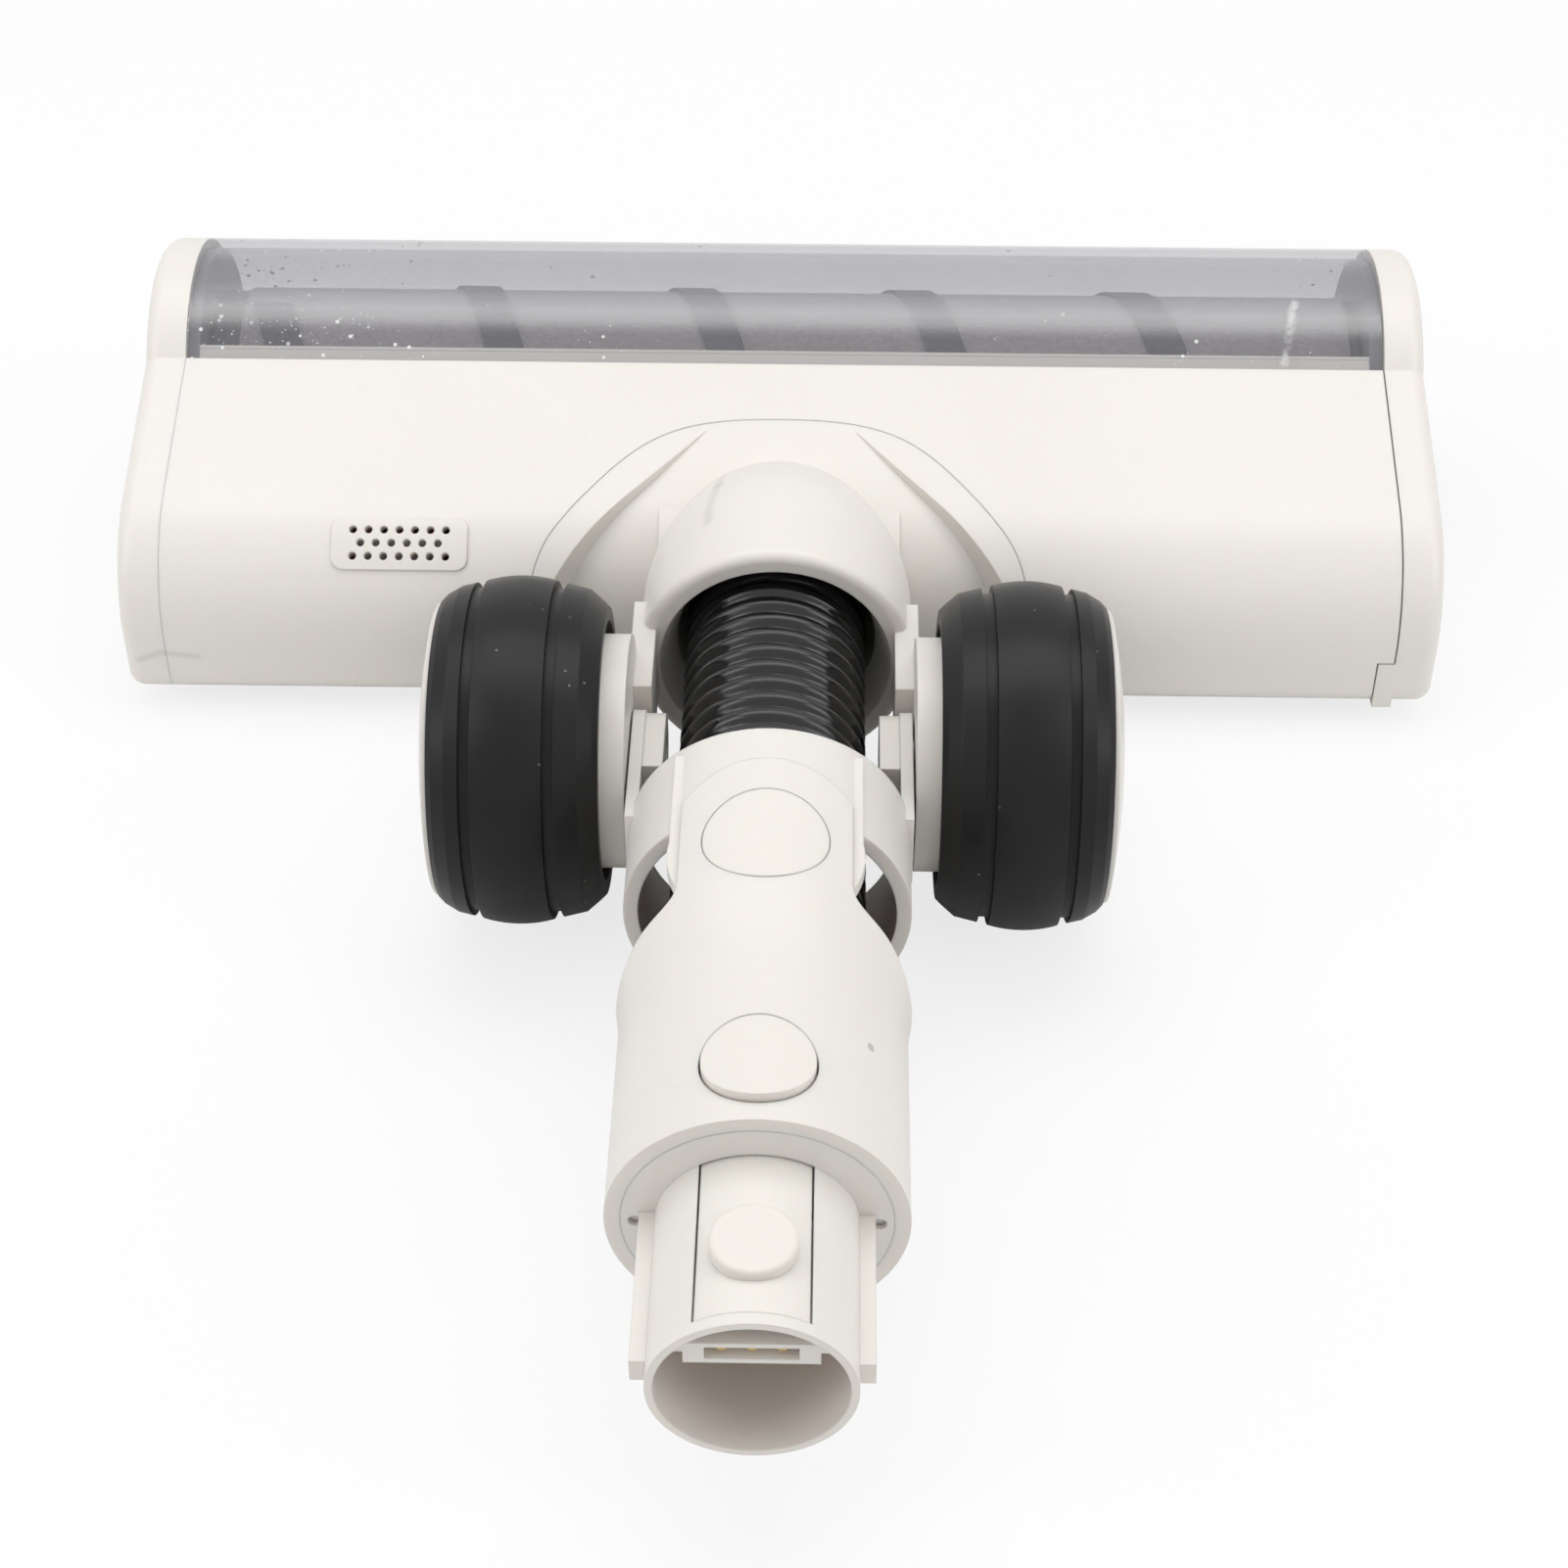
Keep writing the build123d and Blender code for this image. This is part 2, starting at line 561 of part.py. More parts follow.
# Base plate with its cradle, posts and wheel pockets
STRIP_BACK = 1.6
STRIP_THICK = 1.2
STRIP_SEAT = 1.4
STRIP_CLEAR = 1.0
BOARD_INSET = 37.7
BOARD_X = SEAM_X - BOARD_INSET
BOARD_SIZE = (50, 26)
BOARD_THICK = 1.6
BOARD_AHEAD = 70.0
BOARD_Z = 13.0
PIN_Z = SOLE_WHEEL
SOLE_WHEEL_Y = ahead(88)
board_posts = [
    (BOARD_X + x, ahead(BOARD_AHEAD) + y) for x in (-21, 21) for y in (-9, 9)
]
with BuildPart() as base_plate:
    with BuildSketch(Plane.XY.offset(SOLE_Z)):
        with Locations((0, REAR_Y + WALL + SEAM)):
            Rectangle(
                2 * (SEAM_X - WALL - SEAM),
                FOOT_Y - REAR_Y - WALL - SEAM,
                align=(Align.CENTER, Align.MIN),
            )
    extrude(amount=PLATE_THICK)
    # motor cradle and board posts
    with BuildSketch(Plane.XY.offset(PLATE_TOP)):
        with Locations((MOTOR_LEFT + 11, MOTOR[0]), (MOTOR_LEFT + 40, MOTOR[0])):
            Rectangle(WALL, 1.5 * MOTOR_RADIUS)
    extrude(amount=MOTOR_Z - PLATE_TOP - 5)
    with BuildSketch(Plane.YZ.offset(MOTOR_LEFT)):
        with Locations(MOTOR):
            Circle(MOTOR_RADIUS)
    extrude(amount=MOTOR_LENGTH, mode=Mode.SUBTRACT)
    with BuildSketch(Plane.XY.offset(PLATE_TOP)):
        with Locations(*board_posts):
            Circle(2.2)
    extrude(amount=BOARD_Z - PLATE_TOP)
    # pockets and pin grooves of the sole wheels
    with BuildSketch(Plane.XY.offset(SOLE_Z)):
        with Locations((-SOLE_WHEEL_X, SOLE_WHEEL_Y), (SOLE_WHEEL_X, SOLE_WHEEL_Y)):
            Rectangle(SOLE_WHEEL_WIDTH + 2, 2 * SOLE_WHEEL + 2)
    extrude(amount=PLATE_THICK, mode=Mode.SUBTRACT)
    with BuildSketch(Plane.YZ):
        with Locations((SOLE_WHEEL_Y, PIN_Z)):
            Circle(SOLE_PIN)
    extrude(amount=SOLE_WHEEL_X + SOLE_WHEEL_WIDTH, both=True, mode=Mode.SUBTRACT)
    with BuildSketch(Plane.YZ):
        with Locations((SOLE_WHEEL_Y, PIN_Z)):
            Circle(SOLE_PIN)
    extrude(amount=SOLE_WHEEL_X - SOLE_WHEEL_WIDTH, both=True)
    # counterbored screw holes and the slot of the dust strip
    with BuildSketch(Plane.XY.offset(SOLE_Z)):
        with Locations(*rear_screws, *front_screws):
            Circle(SCREW_HOLE)
    extrude(amount=PLATE_THICK, mode=Mode.SUBTRACT)
    with BuildSketch(Plane.XY.offset(SOLE_Z)):
        with Locations(*rear_screws, *front_screws):
            Circle(SCREW_HEAD + HEAD_ROOM)
    extrude(amount=HEAD_SINK, mode=Mode.SUBTRACT)
    with BuildSketch(Plane.XY.offset(SOLE_Z)):
        with Locations((0, FOOT_Y - STRIP_BACK)):
            Rectangle(2 * EDGE_X, STRIP_THICK)
    extrude(amount=STRIP_SEAT, mode=Mode.SUBTRACT)
base_plate.part.label = "base_plate"
export_step(base_plate.part, "parts/base_plate.step")

with BuildPart() as base_screws:
    with BuildSketch(Plane.XY.offset(SOLE_Z + HEAD_SINK)):
        with Locations(*rear_screws, *front_screws):
            Circle(SCREW_HEAD)
    extrude(amount=-HEAD_HEIGHT)
    with BuildSketch(Plane.XY.offset(SOLE_Z + HEAD_SINK)):
        with Locations(*rear_screws, *front_screws):
            Circle(SCREW_SHANK)
    extrude(amount=9)
base_screws.part.label = "base_screws"
export_step(base_screws.part, "parts/base_screws.step")

with BuildPart() as dust_strip:
    with BuildSketch(Plane.XY.offset(STRIP_CLEAR)):
        with Locations((0, FOOT_Y - STRIP_BACK)):
            Rectangle(2 * EDGE_X, STRIP_THICK)
    extrude(amount=SOLE_Z + STRIP_SEAT - STRIP_CLEAR)
dust_strip.part.label = "dust_strip"
export_step(dust_strip.part, "parts/dust_strip.step")

with BuildPart() as control_board:
    with BuildSketch(Plane.XY.offset(BOARD_Z)):
        with Locations((BOARD_X, ahead(BOARD_AHEAD))):
            Rectangle(*BOARD_SIZE)
    extrude(amount=BOARD_THICK)
    with BuildSketch(Plane.XY.offset(BOARD_Z + BOARD_THICK)):
        with Locations((BOARD_X - 10, ahead(BOARD_AHEAD))):
            Rectangle(12, 12)
        with Locations((BOARD_X + 14, ahead(BOARD_AHEAD) + 4)):
            Circle(4)
    extrude(amount=6)
control_board.part.label = "control_board"
export_step(control_board.part, "parts/control_board.step")

with BuildPart() as sole_pins:
    for x in (-SOLE_WHEEL_X, SOLE_WHEEL_X):
        with BuildSketch(Plane.YZ.offset(x)):
            with Locations((SOLE_WHEEL_Y, PIN_Z)):
                Circle(SOLE_PIN)
        extrude(amount=SOLE_WHEEL_WIDTH - 0.2, both=True)
sole_pins.part.label = "sole_pins"
export_step(sole_pins.part, "parts/sole_pins.step")

for side, sign in (("left", -1), ("right", 1)):
    with BuildPart() as sole_wheel:
        with BuildSketch(Plane.YZ.offset(sign * SOLE_WHEEL_X)):
            with Locations((SOLE_WHEEL_Y, PIN_Z)):
                Circle(SOLE_WHEEL)
                Circle(SOLE_PIN + RUNNING, mode=Mode.SUBTRACT)
        extrude(amount=SOLE_WHEEL_WIDTH / 2, both=True)
        chamfer(edges().filter_by(GeomType.CIRCLE).group_by(SortBy.RADIUS)[-1], 0.8)
    sole_wheel.part.label = "sole_wheel_" + side
    export_step(sole_wheel.part, "parts/sole_wheel_" + side + ".step")

# Neck cowl: rear skin with two scoops, the hood over the hose and the wheel discs
SKIN = 8.5
ARM_START = 9.0
with BuildSketch() as cowl_side:
    add(head_side.sketch)
    offset(head_side.sketch, amount=-SKIN, mode=Mode.SUBTRACT)
    with Locations((REAR_Y + WALL, PLATE_TOP)):
        Rectangle(FAR, FAR, align=(Align.MIN, Align.MAX), mode=Mode.SUBTRACT)

with BuildSketch() as scoop_side:
    with BuildLine():
        Polyline(
            (ahead(84), 45.7),
            (ahead(52.7), 32.2),
            (ahead(52.7), 0),
            (ahead(30), 0),
            (ahead(30), 70),
            (ahead(84), 70),
            close=True,
        )
    make_face()
    fillet(vertices().sort_by_distance((ahead(52.7), 32.2))[0], DECK_FILLET)

with BuildPart() as scoops:
    with BuildSketch(Plane.YZ):
        add(scoop_side.sketch)
    extrude(amount=60, both=True)
    with BuildSketch(Plane.XY):
        with BuildLine():
            Polyline(
                (0, ahead(84)),
                (14, ahead(84)),
                (44.6, ahead(52)),
                (46.5, ahead(46)),
                (46.5, ahead(30)),
                (0, ahead(30)),
            )
            mirror(about=Plane.YZ)
        make_face()
    extrude(amount=FAR, mode=Mode.INTERSECT)

with BuildPart() as neck_cowl:
    with BuildSketch(Plane.YZ):
        add(cowl_side.sketch)
    extrude(amount=60, both=True)
    with BuildSketch(Plane.XY):
        add(cowl_plan(SEAM))
    extrude(amount=FAR, mode=Mode.INTERSECT)
    add(scoops.part, mode=Mode.SUBTRACT)
    # duct block inside the shell
    with BuildSketch(Plane.YZ):
        offset(cavity_side.sketch, amount=-SEAM, mode=Mode.ADD)
        with Locations((0, PLATE_TOP)):
            Rectangle(2 * FAR, FAR, align=(Align.CENTER, Align.MAX), mode=Mode.SUBTRACT)
        with Locations((REAR_Y + SKIN, 0)):
            Rectangle(FAR, 2 * FAR, align=(Align.MAX, Align.CENTER), mode=Mode.SUBTRACT)
    extrude(amount=24, both=True)
    # hood, turned about the neck
    with BuildSketch(Plane.XY.offset(AXLE_Z)):
        with BuildLine():
            Line((0, ahead(HOOD_MOUTH)), (HOOD_RADIUS - 2, ahead(HOOD_MOUTH)))
            RadiusArc((HOOD_RADIUS - 2, ahead(HOOD_MOUTH)), (HOOD_RADIUS, ahead(HOOD_MOUTH + 2)), -2)
            Line((HOOD_RADIUS, ahead(HOOD_MOUTH + 2)), (HOOD_RADIUS, ahead(40)))
            TangentArc((HOOD_RADIUS, ahead(40)), (NOSE_RADIUS, ahead(HOOD_NOSE)), tangent=(0, 1))
            Line((NOSE_RADIUS, ahead(HOOD_NOSE)), (0, ahead(HOOD_NOSE)))
            Line((0, ahead(HOOD_NOSE)), (0, ahead(HOOD_MOUTH)))
        make_face()
    revolve(axis=NECK_AXIS)
    with BuildSketch(Plane.XY):
        with Locations((0, REAR_Y + WALL)):
            Rectangle(120, 60, align=(Align.CENTER, Align.MIN))
    extrude(amount=PLATE_TOP, mode=Mode.SUBTRACT)
    # arms and wheel discs
    for sign in (-1, 1):
        with BuildSketch(Plane.YZ.offset(sign * DISC_INNER)):
            with Locations((AXLE_Y, AXLE_Z)):
                Circle(DISC_RADIUS)
        extrude(amount=sign * DISC_THICK)
        with BuildSketch(Plane.YZ.offset(sign * (HOOD_RADIUS - 3.5))):
            with Locations((ahead(ARM_START), AXLE_Z)):
                Rectangle(25, 16, align=(Align.MIN, Align.CENTER))
        extrude(amount=sign * 4.5)
    with BuildSketch(Plane.YZ):
        with Locations((AXLE_Y, AXLE_Z)):
            Circle(AXLE)
    extrude(amount=40, both=True, mode=Mode.SUBTRACT)
    # hose bore with a flared rim, then the duct down to the chamber
    with BuildSketch(Plane.XY.offset(AXLE_Z)):
        with BuildLine():
            Polyline(
                (0, ahead(HOOD_MOUTH)),
                (HOOD_BORE + 3, ahead(HOOD_MOUTH)),
                (HOOD_BORE, ahead(HOOD_MOUTH + 8)),
                (HOOD_BORE, ahead(58)),
                (0, ahead(58)),
                close=True,
            )
        make_face()
    revolve(axis=NECK_AXIS, mode=Mode.SUBTRACT)
    with BuildSketch(Plane(origin=(0, ahead(57.9), AXLE_Z), x_dir=(1, 0, 0), z_dir=(0, -1, 0))):
        Circle(HOSE_BORE - 0.2)
    with BuildSketch(Plane(origin=(0, FOOT_Y + 2, 18), x_dir=(1, 0, 0), z_dir=(0, -1, 0))):
        Ellipse(19.5, 7.2)
    loft(mode=Mode.SUBTRACT)
neck_cowl.part.label = "neck_cowl"
export_step(neck_cowl.part, "parts/neck_cowl.step")

with BuildPart() as hose_cuff_front:
    with BuildSketch(neck_plane(-58)):
        Circle(HOOD_BORE - SEAM)
        Circle(HOSE_BORE, mode=Mode.SUBTRACT)
    extrude(amount=2)
    with BuildSketch(neck_plane(-56)):
        Circle(HOOD_BORE - SEAM)
        Circle(HOSE_RADIUS + SEAM, mode=Mode.SUBTRACT)
    extrude(amount=6)
hose_cuff_front.part.label = "hose_cuff_front"
export_step(hose_cuff_front.part, "parts/hose_cuff_front.step")

# Large wheels on fixed pins
TYRE_OUTER = TYRE_INNER + TYRE_WIDTH
CLIP_X = 57.2
for side, sign in (("left", -1), ("right", 1)):
    with BuildPart() as axle_pin:
        with BuildSketch(Plane.YZ.offset(sign * 19.8)):
            with Locations((AXLE_Y, AXLE_Z)):
                Circle(AXLE)
        extrude(amount=sign * (CLIP_X + 1.6 - 19.8))
        with BuildSketch(Plane.YZ.offset(sign * CLIP_X)):
            with Locations((AXLE_Y, AXLE_Z)):
                Circle(AXLE)
                Circle(AXLE - 0.6, mode=Mode.SUBTRACT)
        extrude(amount=sign, mode=Mode.SUBTRACT)
    axle_pin.part.label = "axle_pin_" + side
    export_step(axle_pin.part, "parts/axle_pin_" + side + ".step")

    # rubber tyre: crowned tread, a groove each side and stepped shoulders
    with BuildPart() as tyre:
        with BuildSketch(Plane.XY.offset(AXLE_Z)):
            with BuildLine():
                tread = Polyline(
                    (sign * (TYRE_INNER + 9.5), ahead(WHEEL_RADIUS - 0.9)),
                    (sign * (TYRE_INNER + 9.5), ahead(WHEEL_RADIUS - 2.4)),
                    (sign * (TYRE_INNER + 7.5), ahead(WHEEL_RADIUS - 2.4)),
                    (sign * (TYRE_INNER + 7.5), ahead(WHEEL_RADIUS - 1.4)),
                    (sign * (TYRE_INNER + 3.4), ahead(WHEEL_RADIUS - 2.4)),
                    (sign * (TYRE_INNER + 1), ahead(WHEEL_RADIUS - 4.5)),
                    (sign * TYRE_INNER, ahead(WHEEL_RADIUS - 5.5)),
                    (sign * TYRE_INNER, ahead(TYRE_SEAT)),
                    (sign * TYRE_OUTER, ahead(TYRE_SEAT)),
                    (sign * TYRE_OUTER, ahead(WHEEL_RADIUS - 4.4)),
                    (sign * (TYRE_OUTER - 1), ahead(WHEEL_RADIUS - 3.4)),
                    (sign * (TYRE_OUTER - 3.4), ahead(WHEEL_RADIUS - 2)),
                    (sign * (TYRE_OUTER - 6), ahead(WHEEL_RADIUS - 1.4)),
                    (sign * (TYRE_OUTER - 6), ahead(WHEEL_RADIUS - 2.4)),
                    (sign * (TYRE_OUTER - 8), ahead(WHEEL_RADIUS - 2.4)),
                    (sign * (TYRE_OUTER - 8), ahead(WHEEL_RADIUS - 0.9)),
                )
                ThreePointArc(
                    tread @ 1,
                    (sign * (TYRE_INNER + TYRE_OUTER + 1.5) / 2, ahead(WHEEL_RADIUS)),
                    tread @ 0,
                )
            make_face()
        revolve(axis=AXLE_AXIS)
    tyre.part.label = "tyre_" + side
    export_step(tyre.part, "parts/tyre_" + side + ".step")

    # hub: drum, web and boss
    with BuildPart() as wheel_hub:
        with BuildSketch(Plane.XY.offset(AXLE_Z)):
            with BuildLine():
                Polyline(
                    (sign * (TYRE_INNER + 1.6), ahead(TYRE_SEAT)),
                    (sign * (TYRE_INNER + 1.6), ahead(TYRE_SEAT - 2.2)),
                    (sign * 44, ahead(TYRE_SEAT - 2.2)),
                    (sign * 44, ahead(6.5)),
                    (sign * 34, ahead(6.5)),
                    (sign * 34, ahead(AXLE + RUNNING)),
                    (sign * (CLIP_X - 0.4), ahead(AXLE + RUNNING)),
                    (sign * (CLIP_X - 0.4), ahead(6.5)),
                    (sign * 47, ahead(6.5)),
                    (sign * 47, ahead(TYRE_SEAT - 2.2)),
                    (sign * (TYRE_OUTER - 0.3), ahead(TYRE_SEAT - 2.2)),
                    (sign * (TYRE_OUTER - 0.3), ahead(TYRE_SEAT)),
                    close=True,
                )
            make_face()
        revolve(axis=AXLE_AXIS)
    wheel_hub.part.label = "wheel_hub_" + side
    export_step(wheel_hub.part, "parts/wheel_hub_" + side + ".step")

    # domed hub cap, clipped into the drum
    with BuildPart() as hub_cap:
        with BuildSketch(Plane.XY.offset(AXLE_Z)):
            with BuildLine():
                ThreePointArc(
                    (sign * (TYRE_OUTER + 3.7), AXLE_Y),
                    (sign * (TYRE_OUTER + 2.8), ahead(15)),
                    (sign * (TYRE_OUTER + 0.9), ahead(TYRE_SEAT + 2.8)),
                )
                Polyline(
                    (sign * (TYRE_OUTER + 0.9), ahead(TYRE_SEAT + 2.8)),
                    (sign * TYRE_OUTER, ahead(TYRE_SEAT + 2.8)),
                    (sign * TYRE_OUTER, ahead(TYRE_SEAT - 2.4)),
                    (sign * (TYRE_OUTER - 3), ahead(TYRE_SEAT - 2.4)),
                    (sign * (TYRE_OUTER - 3), ahead(TYRE_SEAT - 4.2)),
                    (sign * (TYRE_OUTER + 0.2), ahead(TYRE_SEAT - 4.2)),
                    (sign * (TYRE_OUTER + 1.5), AXLE_Y),
                    (sign * (TYRE_OUTER + 3.7), AXLE_Y),
                )
            make_face()
        revolve(axis=AXLE_AXIS)
    hub_cap.part.label = "hub_cap_" + side
    export_step(hub_cap.part, "parts/hub_cap_" + side + ".step")

with BuildPart() as axle_clips:
    for sign in (-1, 1):
        with BuildSketch(Plane.YZ.offset(sign * (CLIP_X + 0.1))):
            with Locations((AXLE_Y, AXLE_Z)):
                Circle(5.2)
                Circle(AXLE - 0.5, mode=Mode.SUBTRACT)
            with Locations((AXLE_Y, AXLE_Z)):
                Rectangle(3.4, 12, align=(Align.CENTER, Align.MAX), mode=Mode.SUBTRACT)
        extrude(amount=sign * 0.8)
axle_clips.part.label = "axle_clips"
export_step(axle_clips.part, "parts/axle_clips.step")

# Collar: barrel with two ears on the axle pins and the flat seats of the swivel
EAR_RADIUS = 7.6
EAR_INNER = 23.2
EAR_OUTER = 25.5
RECESS_RADIUS = TONGUE_RADIUS + 0.5
with BuildPart() as neck_collar:
    with BuildSketch(neck_plane(BARREL_START)):
        Circle(BARREL_RADIUS)
    extrude(amount=BARREL_END - BARREL_START)
    with BuildSketch(neck_plane(BARREL_START)):
        Circle(BARREL_RADIUS - BARREL_WALL)
    extrude(amount=BARREL_END - BARREL_START, mode=Mode.SUBTRACT)
    for level in (PEDESTAL_TOP - PEDESTAL_THICK, -PEDESTAL_TOP):
        with BuildSketch(Plane.XY.offset(AXLE_Z + level)):
            with Locations((0, behind(BARREL_START + 2))):
                Rectangle(
                    2 * PEDESTAL_RADIUS - 0.6,
                    PIVOT_BEHIND - BARREL_START - 2,
                    align=(Align.CENTER, Align.MAX),
                )
            with Locations(PIVOT):
                Circle(PEDESTAL_RADIUS)
        extrude(amount=PEDESTAL_THICK)
    for sign in (-1, 1):
        with BuildSketch(Plane.YZ.offset(sign * EAR_INNER)):
            with Locations((AXLE_Y, AXLE_Z)):
                Circle(EAR_RADIUS)
                Rectangle(BARREL_START + 4, 2 * EAR_RADIUS, align=(Align.MAX, Align.CENTER))
        extrude(amount=sign * (EAR_OUTER - EAR_INNER))
    # arched recesses over the seats, then the pin holes
    with BuildSketch(Plane.XY.offset(AXLE_Z + PEDESTAL_TOP)):
        with Locations(PIVOT):
            Circle(RECESS_RADIUS)
    extrude(amount=20, mode=Mode.SUBTRACT)
    with BuildSketch(Plane.XY.offset(AXLE_Z - PEDESTAL_TOP)):
        with Locations(PIVOT):
            Circle(RECESS_RADIUS)
    extrude(amount=-20, mode=Mode.SUBTRACT)
    with BuildSketch(Plane.XY.offset(AXLE_Z)):
        with Locations(PIVOT):
            Circle(SWIVEL_PIN + RUNNING)
    extrude(amount=40, both=True, mode=Mode.SUBTRACT)
    with BuildSketch(Plane.YZ):
        with Locations((AXLE_Y, AXLE_Z)):
            Circle(AXLE + RUNNING)
    extrude(amount=40, both=True, mode=Mode.SUBTRACT)
neck_collar.part.label = "neck_collar"
export_step(neck_collar.part, "parts/neck_collar.step")

for side, sign in (("left", -1), ("right", 1)):
    with BuildPart() as pivot_bush:
        with BuildSketch(Plane.YZ.offset(sign * 19.5)):
            with Locations((AXLE_Y, AXLE_Z)):
                Circle(EAR_RADIUS - 0.6)
                Rectangle(12, 2 * EAR_RADIUS - 1.2, align=(Align.MAX, Align.CENTER))
                Circle(AXLE + RUNNING, mode=Mode.SUBTRACT)
        extrude(amount=sign * (EAR_INNER - 19.5))
        with BuildSketch(Plane.YZ.offset(sign * 19.5)):
            with Locations((behind(8), AXLE_Z)):
                Rectangle(12, 0.6)
        extrude(amount=sign * 1.2, mode=Mode.SUBTRACT)
    pivot_bush.part.label = "pivot_bush_" + side
    export_step(pivot_bush.part, "parts/pivot_bush_" + side + ".step")

# Hose: bellows where it shows between hood and collar, plain ends in its cuffs
HOSE_FRONT = -55.8
HOSE_REAR = TUBE_START - 2.3
RIB_START = -31.0
RIB_COUNT = 13
hose_wall = [(HOSE_RADIUS - 0.6, HOSE_FRONT), (HOSE_RADIUS - 0.6, RIB_START)]
for i in range(RIB_COUNT):
    rib_at = RIB_START + i * HOSE_RIB
    hose_wall += [(HOSE_RADIUS, rib_at + 0.9), (HOSE_RADIUS, rib_at + 2.4)]
    hose_wall += [(HOSE_RADIUS - 1.5, rib_at + 3.2), (HOSE_RADIUS - 1.5, rib_at + 4.1)]
RIB_END = RIB_START + RIB_COUNT * HOSE_RIB
hose_wall += [(HOSE_RADIUS - 0.6, RIB_END + 0.9), (HOSE_RADIUS - 0.6, HOSE_REAR)]
hose_wall += [(HOSE_BORE, HOSE_REAR), (HOSE_BORE, HOSE_FRONT)]
with BuildPart() as hose:
    with BuildSketch(Plane.XY.offset(AXLE_Z)):
        with BuildLine():
            Polyline(*[(radius, behind(place)) for radius, place in hose_wall], close=True)
        make_face()
    revolve(axis=NECK_AXIS)
hose.part.label = "hose"
export_step(hose.part, "parts/hose.step")

# Sleeve with an upper and a lower tongue
SLEEVE_BORE_START = 57.0
TONGUE_UNDER = PEDESTAL_TOP + FIT
CAP_FLOOR = 23.0
with BuildPart() as neck_sleeve:
    with BuildSketch(Plane.XY.offset(AXLE_Z)):
        with BuildLine():
            Polyline((0, behind(28)), (SLEEVE_FRONT_RADIUS, behind(28)), (SLEEVE_FRONT_RADIUS, behind(57)))
            Spline(
                (SLEEVE_FRONT_RADIUS, behind(57)),
                (SLEEVE_RADIUS, behind(74)),
                tangents=[(0, -1), (0, -1)],
            )
            Polyline(
                (SLEEVE_RADIUS, behind(74)),
                (SLEEVE_RADIUS, behind(SLEEVE_END)),
                (0, behind(SLEEVE_END)),
                (0, behind(28)),
            )
        make_face()
    revolve(axis=NECK_AXIS)
    with BuildSketch(Plane.XY):
        with BuildLine():
            tip = (0, behind(PIVOT_BEHIND - TONGUE_RADIUS))
            waist = PIVOT_BEHIND - math.sqrt(TONGUE_RADIUS**2 - TONGUE_HALF**2)
            RadiusArc(tip, (TONGUE_HALF, behind(waist)), TONGUE_RADIUS)
            Line((TONGUE_HALF, behind(waist)), (TONGUE_HALF, behind(57)))
            Spline(
                (TONGUE_HALF, behind(57)),
                (20.5, behind(63)),
                (27, behind(68.5)),
                tangents=[(0, -1), (1, -0.5)],
            )
            Polyline((27, behind(68.5)), (27, behind(SLEEVE_END + 1)), (0, behind(SLEEVE_END + 1)))
            mirror(about=Plane.YZ)
        make_face()
    extrude(amount=FAR, mode=Mode.INTERSECT)
    with BuildSketch(neck_plane(SLEEVE_BORE_START)):
        Circle(SLEEVE_BORE)
    extrude(amount=SLEEVE_END - SLEEVE_BORE_START, mode=Mode.SUBTRACT)
    with BuildSketch(neck_plane(20)):
        Rectangle(80, 2 * TONGUE_UNDER)
    extrude(amount=SLEEVE_BORE_START + 0.5 - 20, mode=Mode.SUBTRACT)
    with BuildSketch(Plane.XY.offset(AXLE_Z)):
        with Locations(PIVOT):
            Circle(PEDESTAL_RADIUS + 0.8)
    extrude(amount=TONGUE_UNDER, both=True, mode=Mode.SUBTRACT)
    # swivel pin holes and pockets of their caps
    with BuildSketch(Plane.XY.offset(AXLE_Z)):
        with Locations(PIVOT):
            Circle(SWIVEL_PIN)
    extrude(amount=40, both=True, mode=Mode.SUBTRACT)
    for sign in (-1, 1):
        with BuildSketch(Plane.XY.offset(AXLE_Z + sign * CAP_FLOOR)):
            with Locations(PIVOT):
                Circle(SWIVEL_CAP + SEAM)
        extrude(amount=sign * 10, mode=Mode.SUBTRACT)
    # hole of the release button
    with BuildSketch(Plane.XY.offset(AXLE_Z)):
        with Locations((0, behind(BUTTON_BEHIND))):
            Circle(BUTTON_RADIUS + FIT)
    extrude(amount=40, mode=Mode.SUBTRACT)
neck_sleeve.part.label = "neck_sleeve"
export_step(neck_sleeve.part, "parts/neck_sleeve.step")

for place, sign in (("upper", 1), ("lower", -1)):
    with BuildPart() as swivel_pin:
        with BuildSketch(Plane.XY.offset(AXLE_Z + sign * 18)):
            with Locations(PIVOT):
                Circle(SWIVEL_PIN)
        extrude(amount=sign * (CAP_FLOOR - 18))
    swivel_pin.part.label = place + "_swivel_pin"
    export_step(swivel_pin.part, "parts/" + place + "_swivel_pin.step")

    # cap with the curve of the sleeve
    with BuildPart() as swivel_cap:
        with BuildSketch(Plane.XY.offset(AXLE_Z + sign * CAP_FLOOR)):
            with Locations(PIVOT):
                Circle(SWIVEL_CAP)
        extrude(amount=sign * 5)
        with BuildSketch(neck_plane(30)):
            Circle(SLEEVE_FRONT_RADIUS)
        extrude(amount=40, mode=Mode.INTERSECT)
    swivel_cap.part.label = place + "_swivel_cap"
    export_step(swivel_cap.part, "parts/" + place + "_swivel_cap.step")

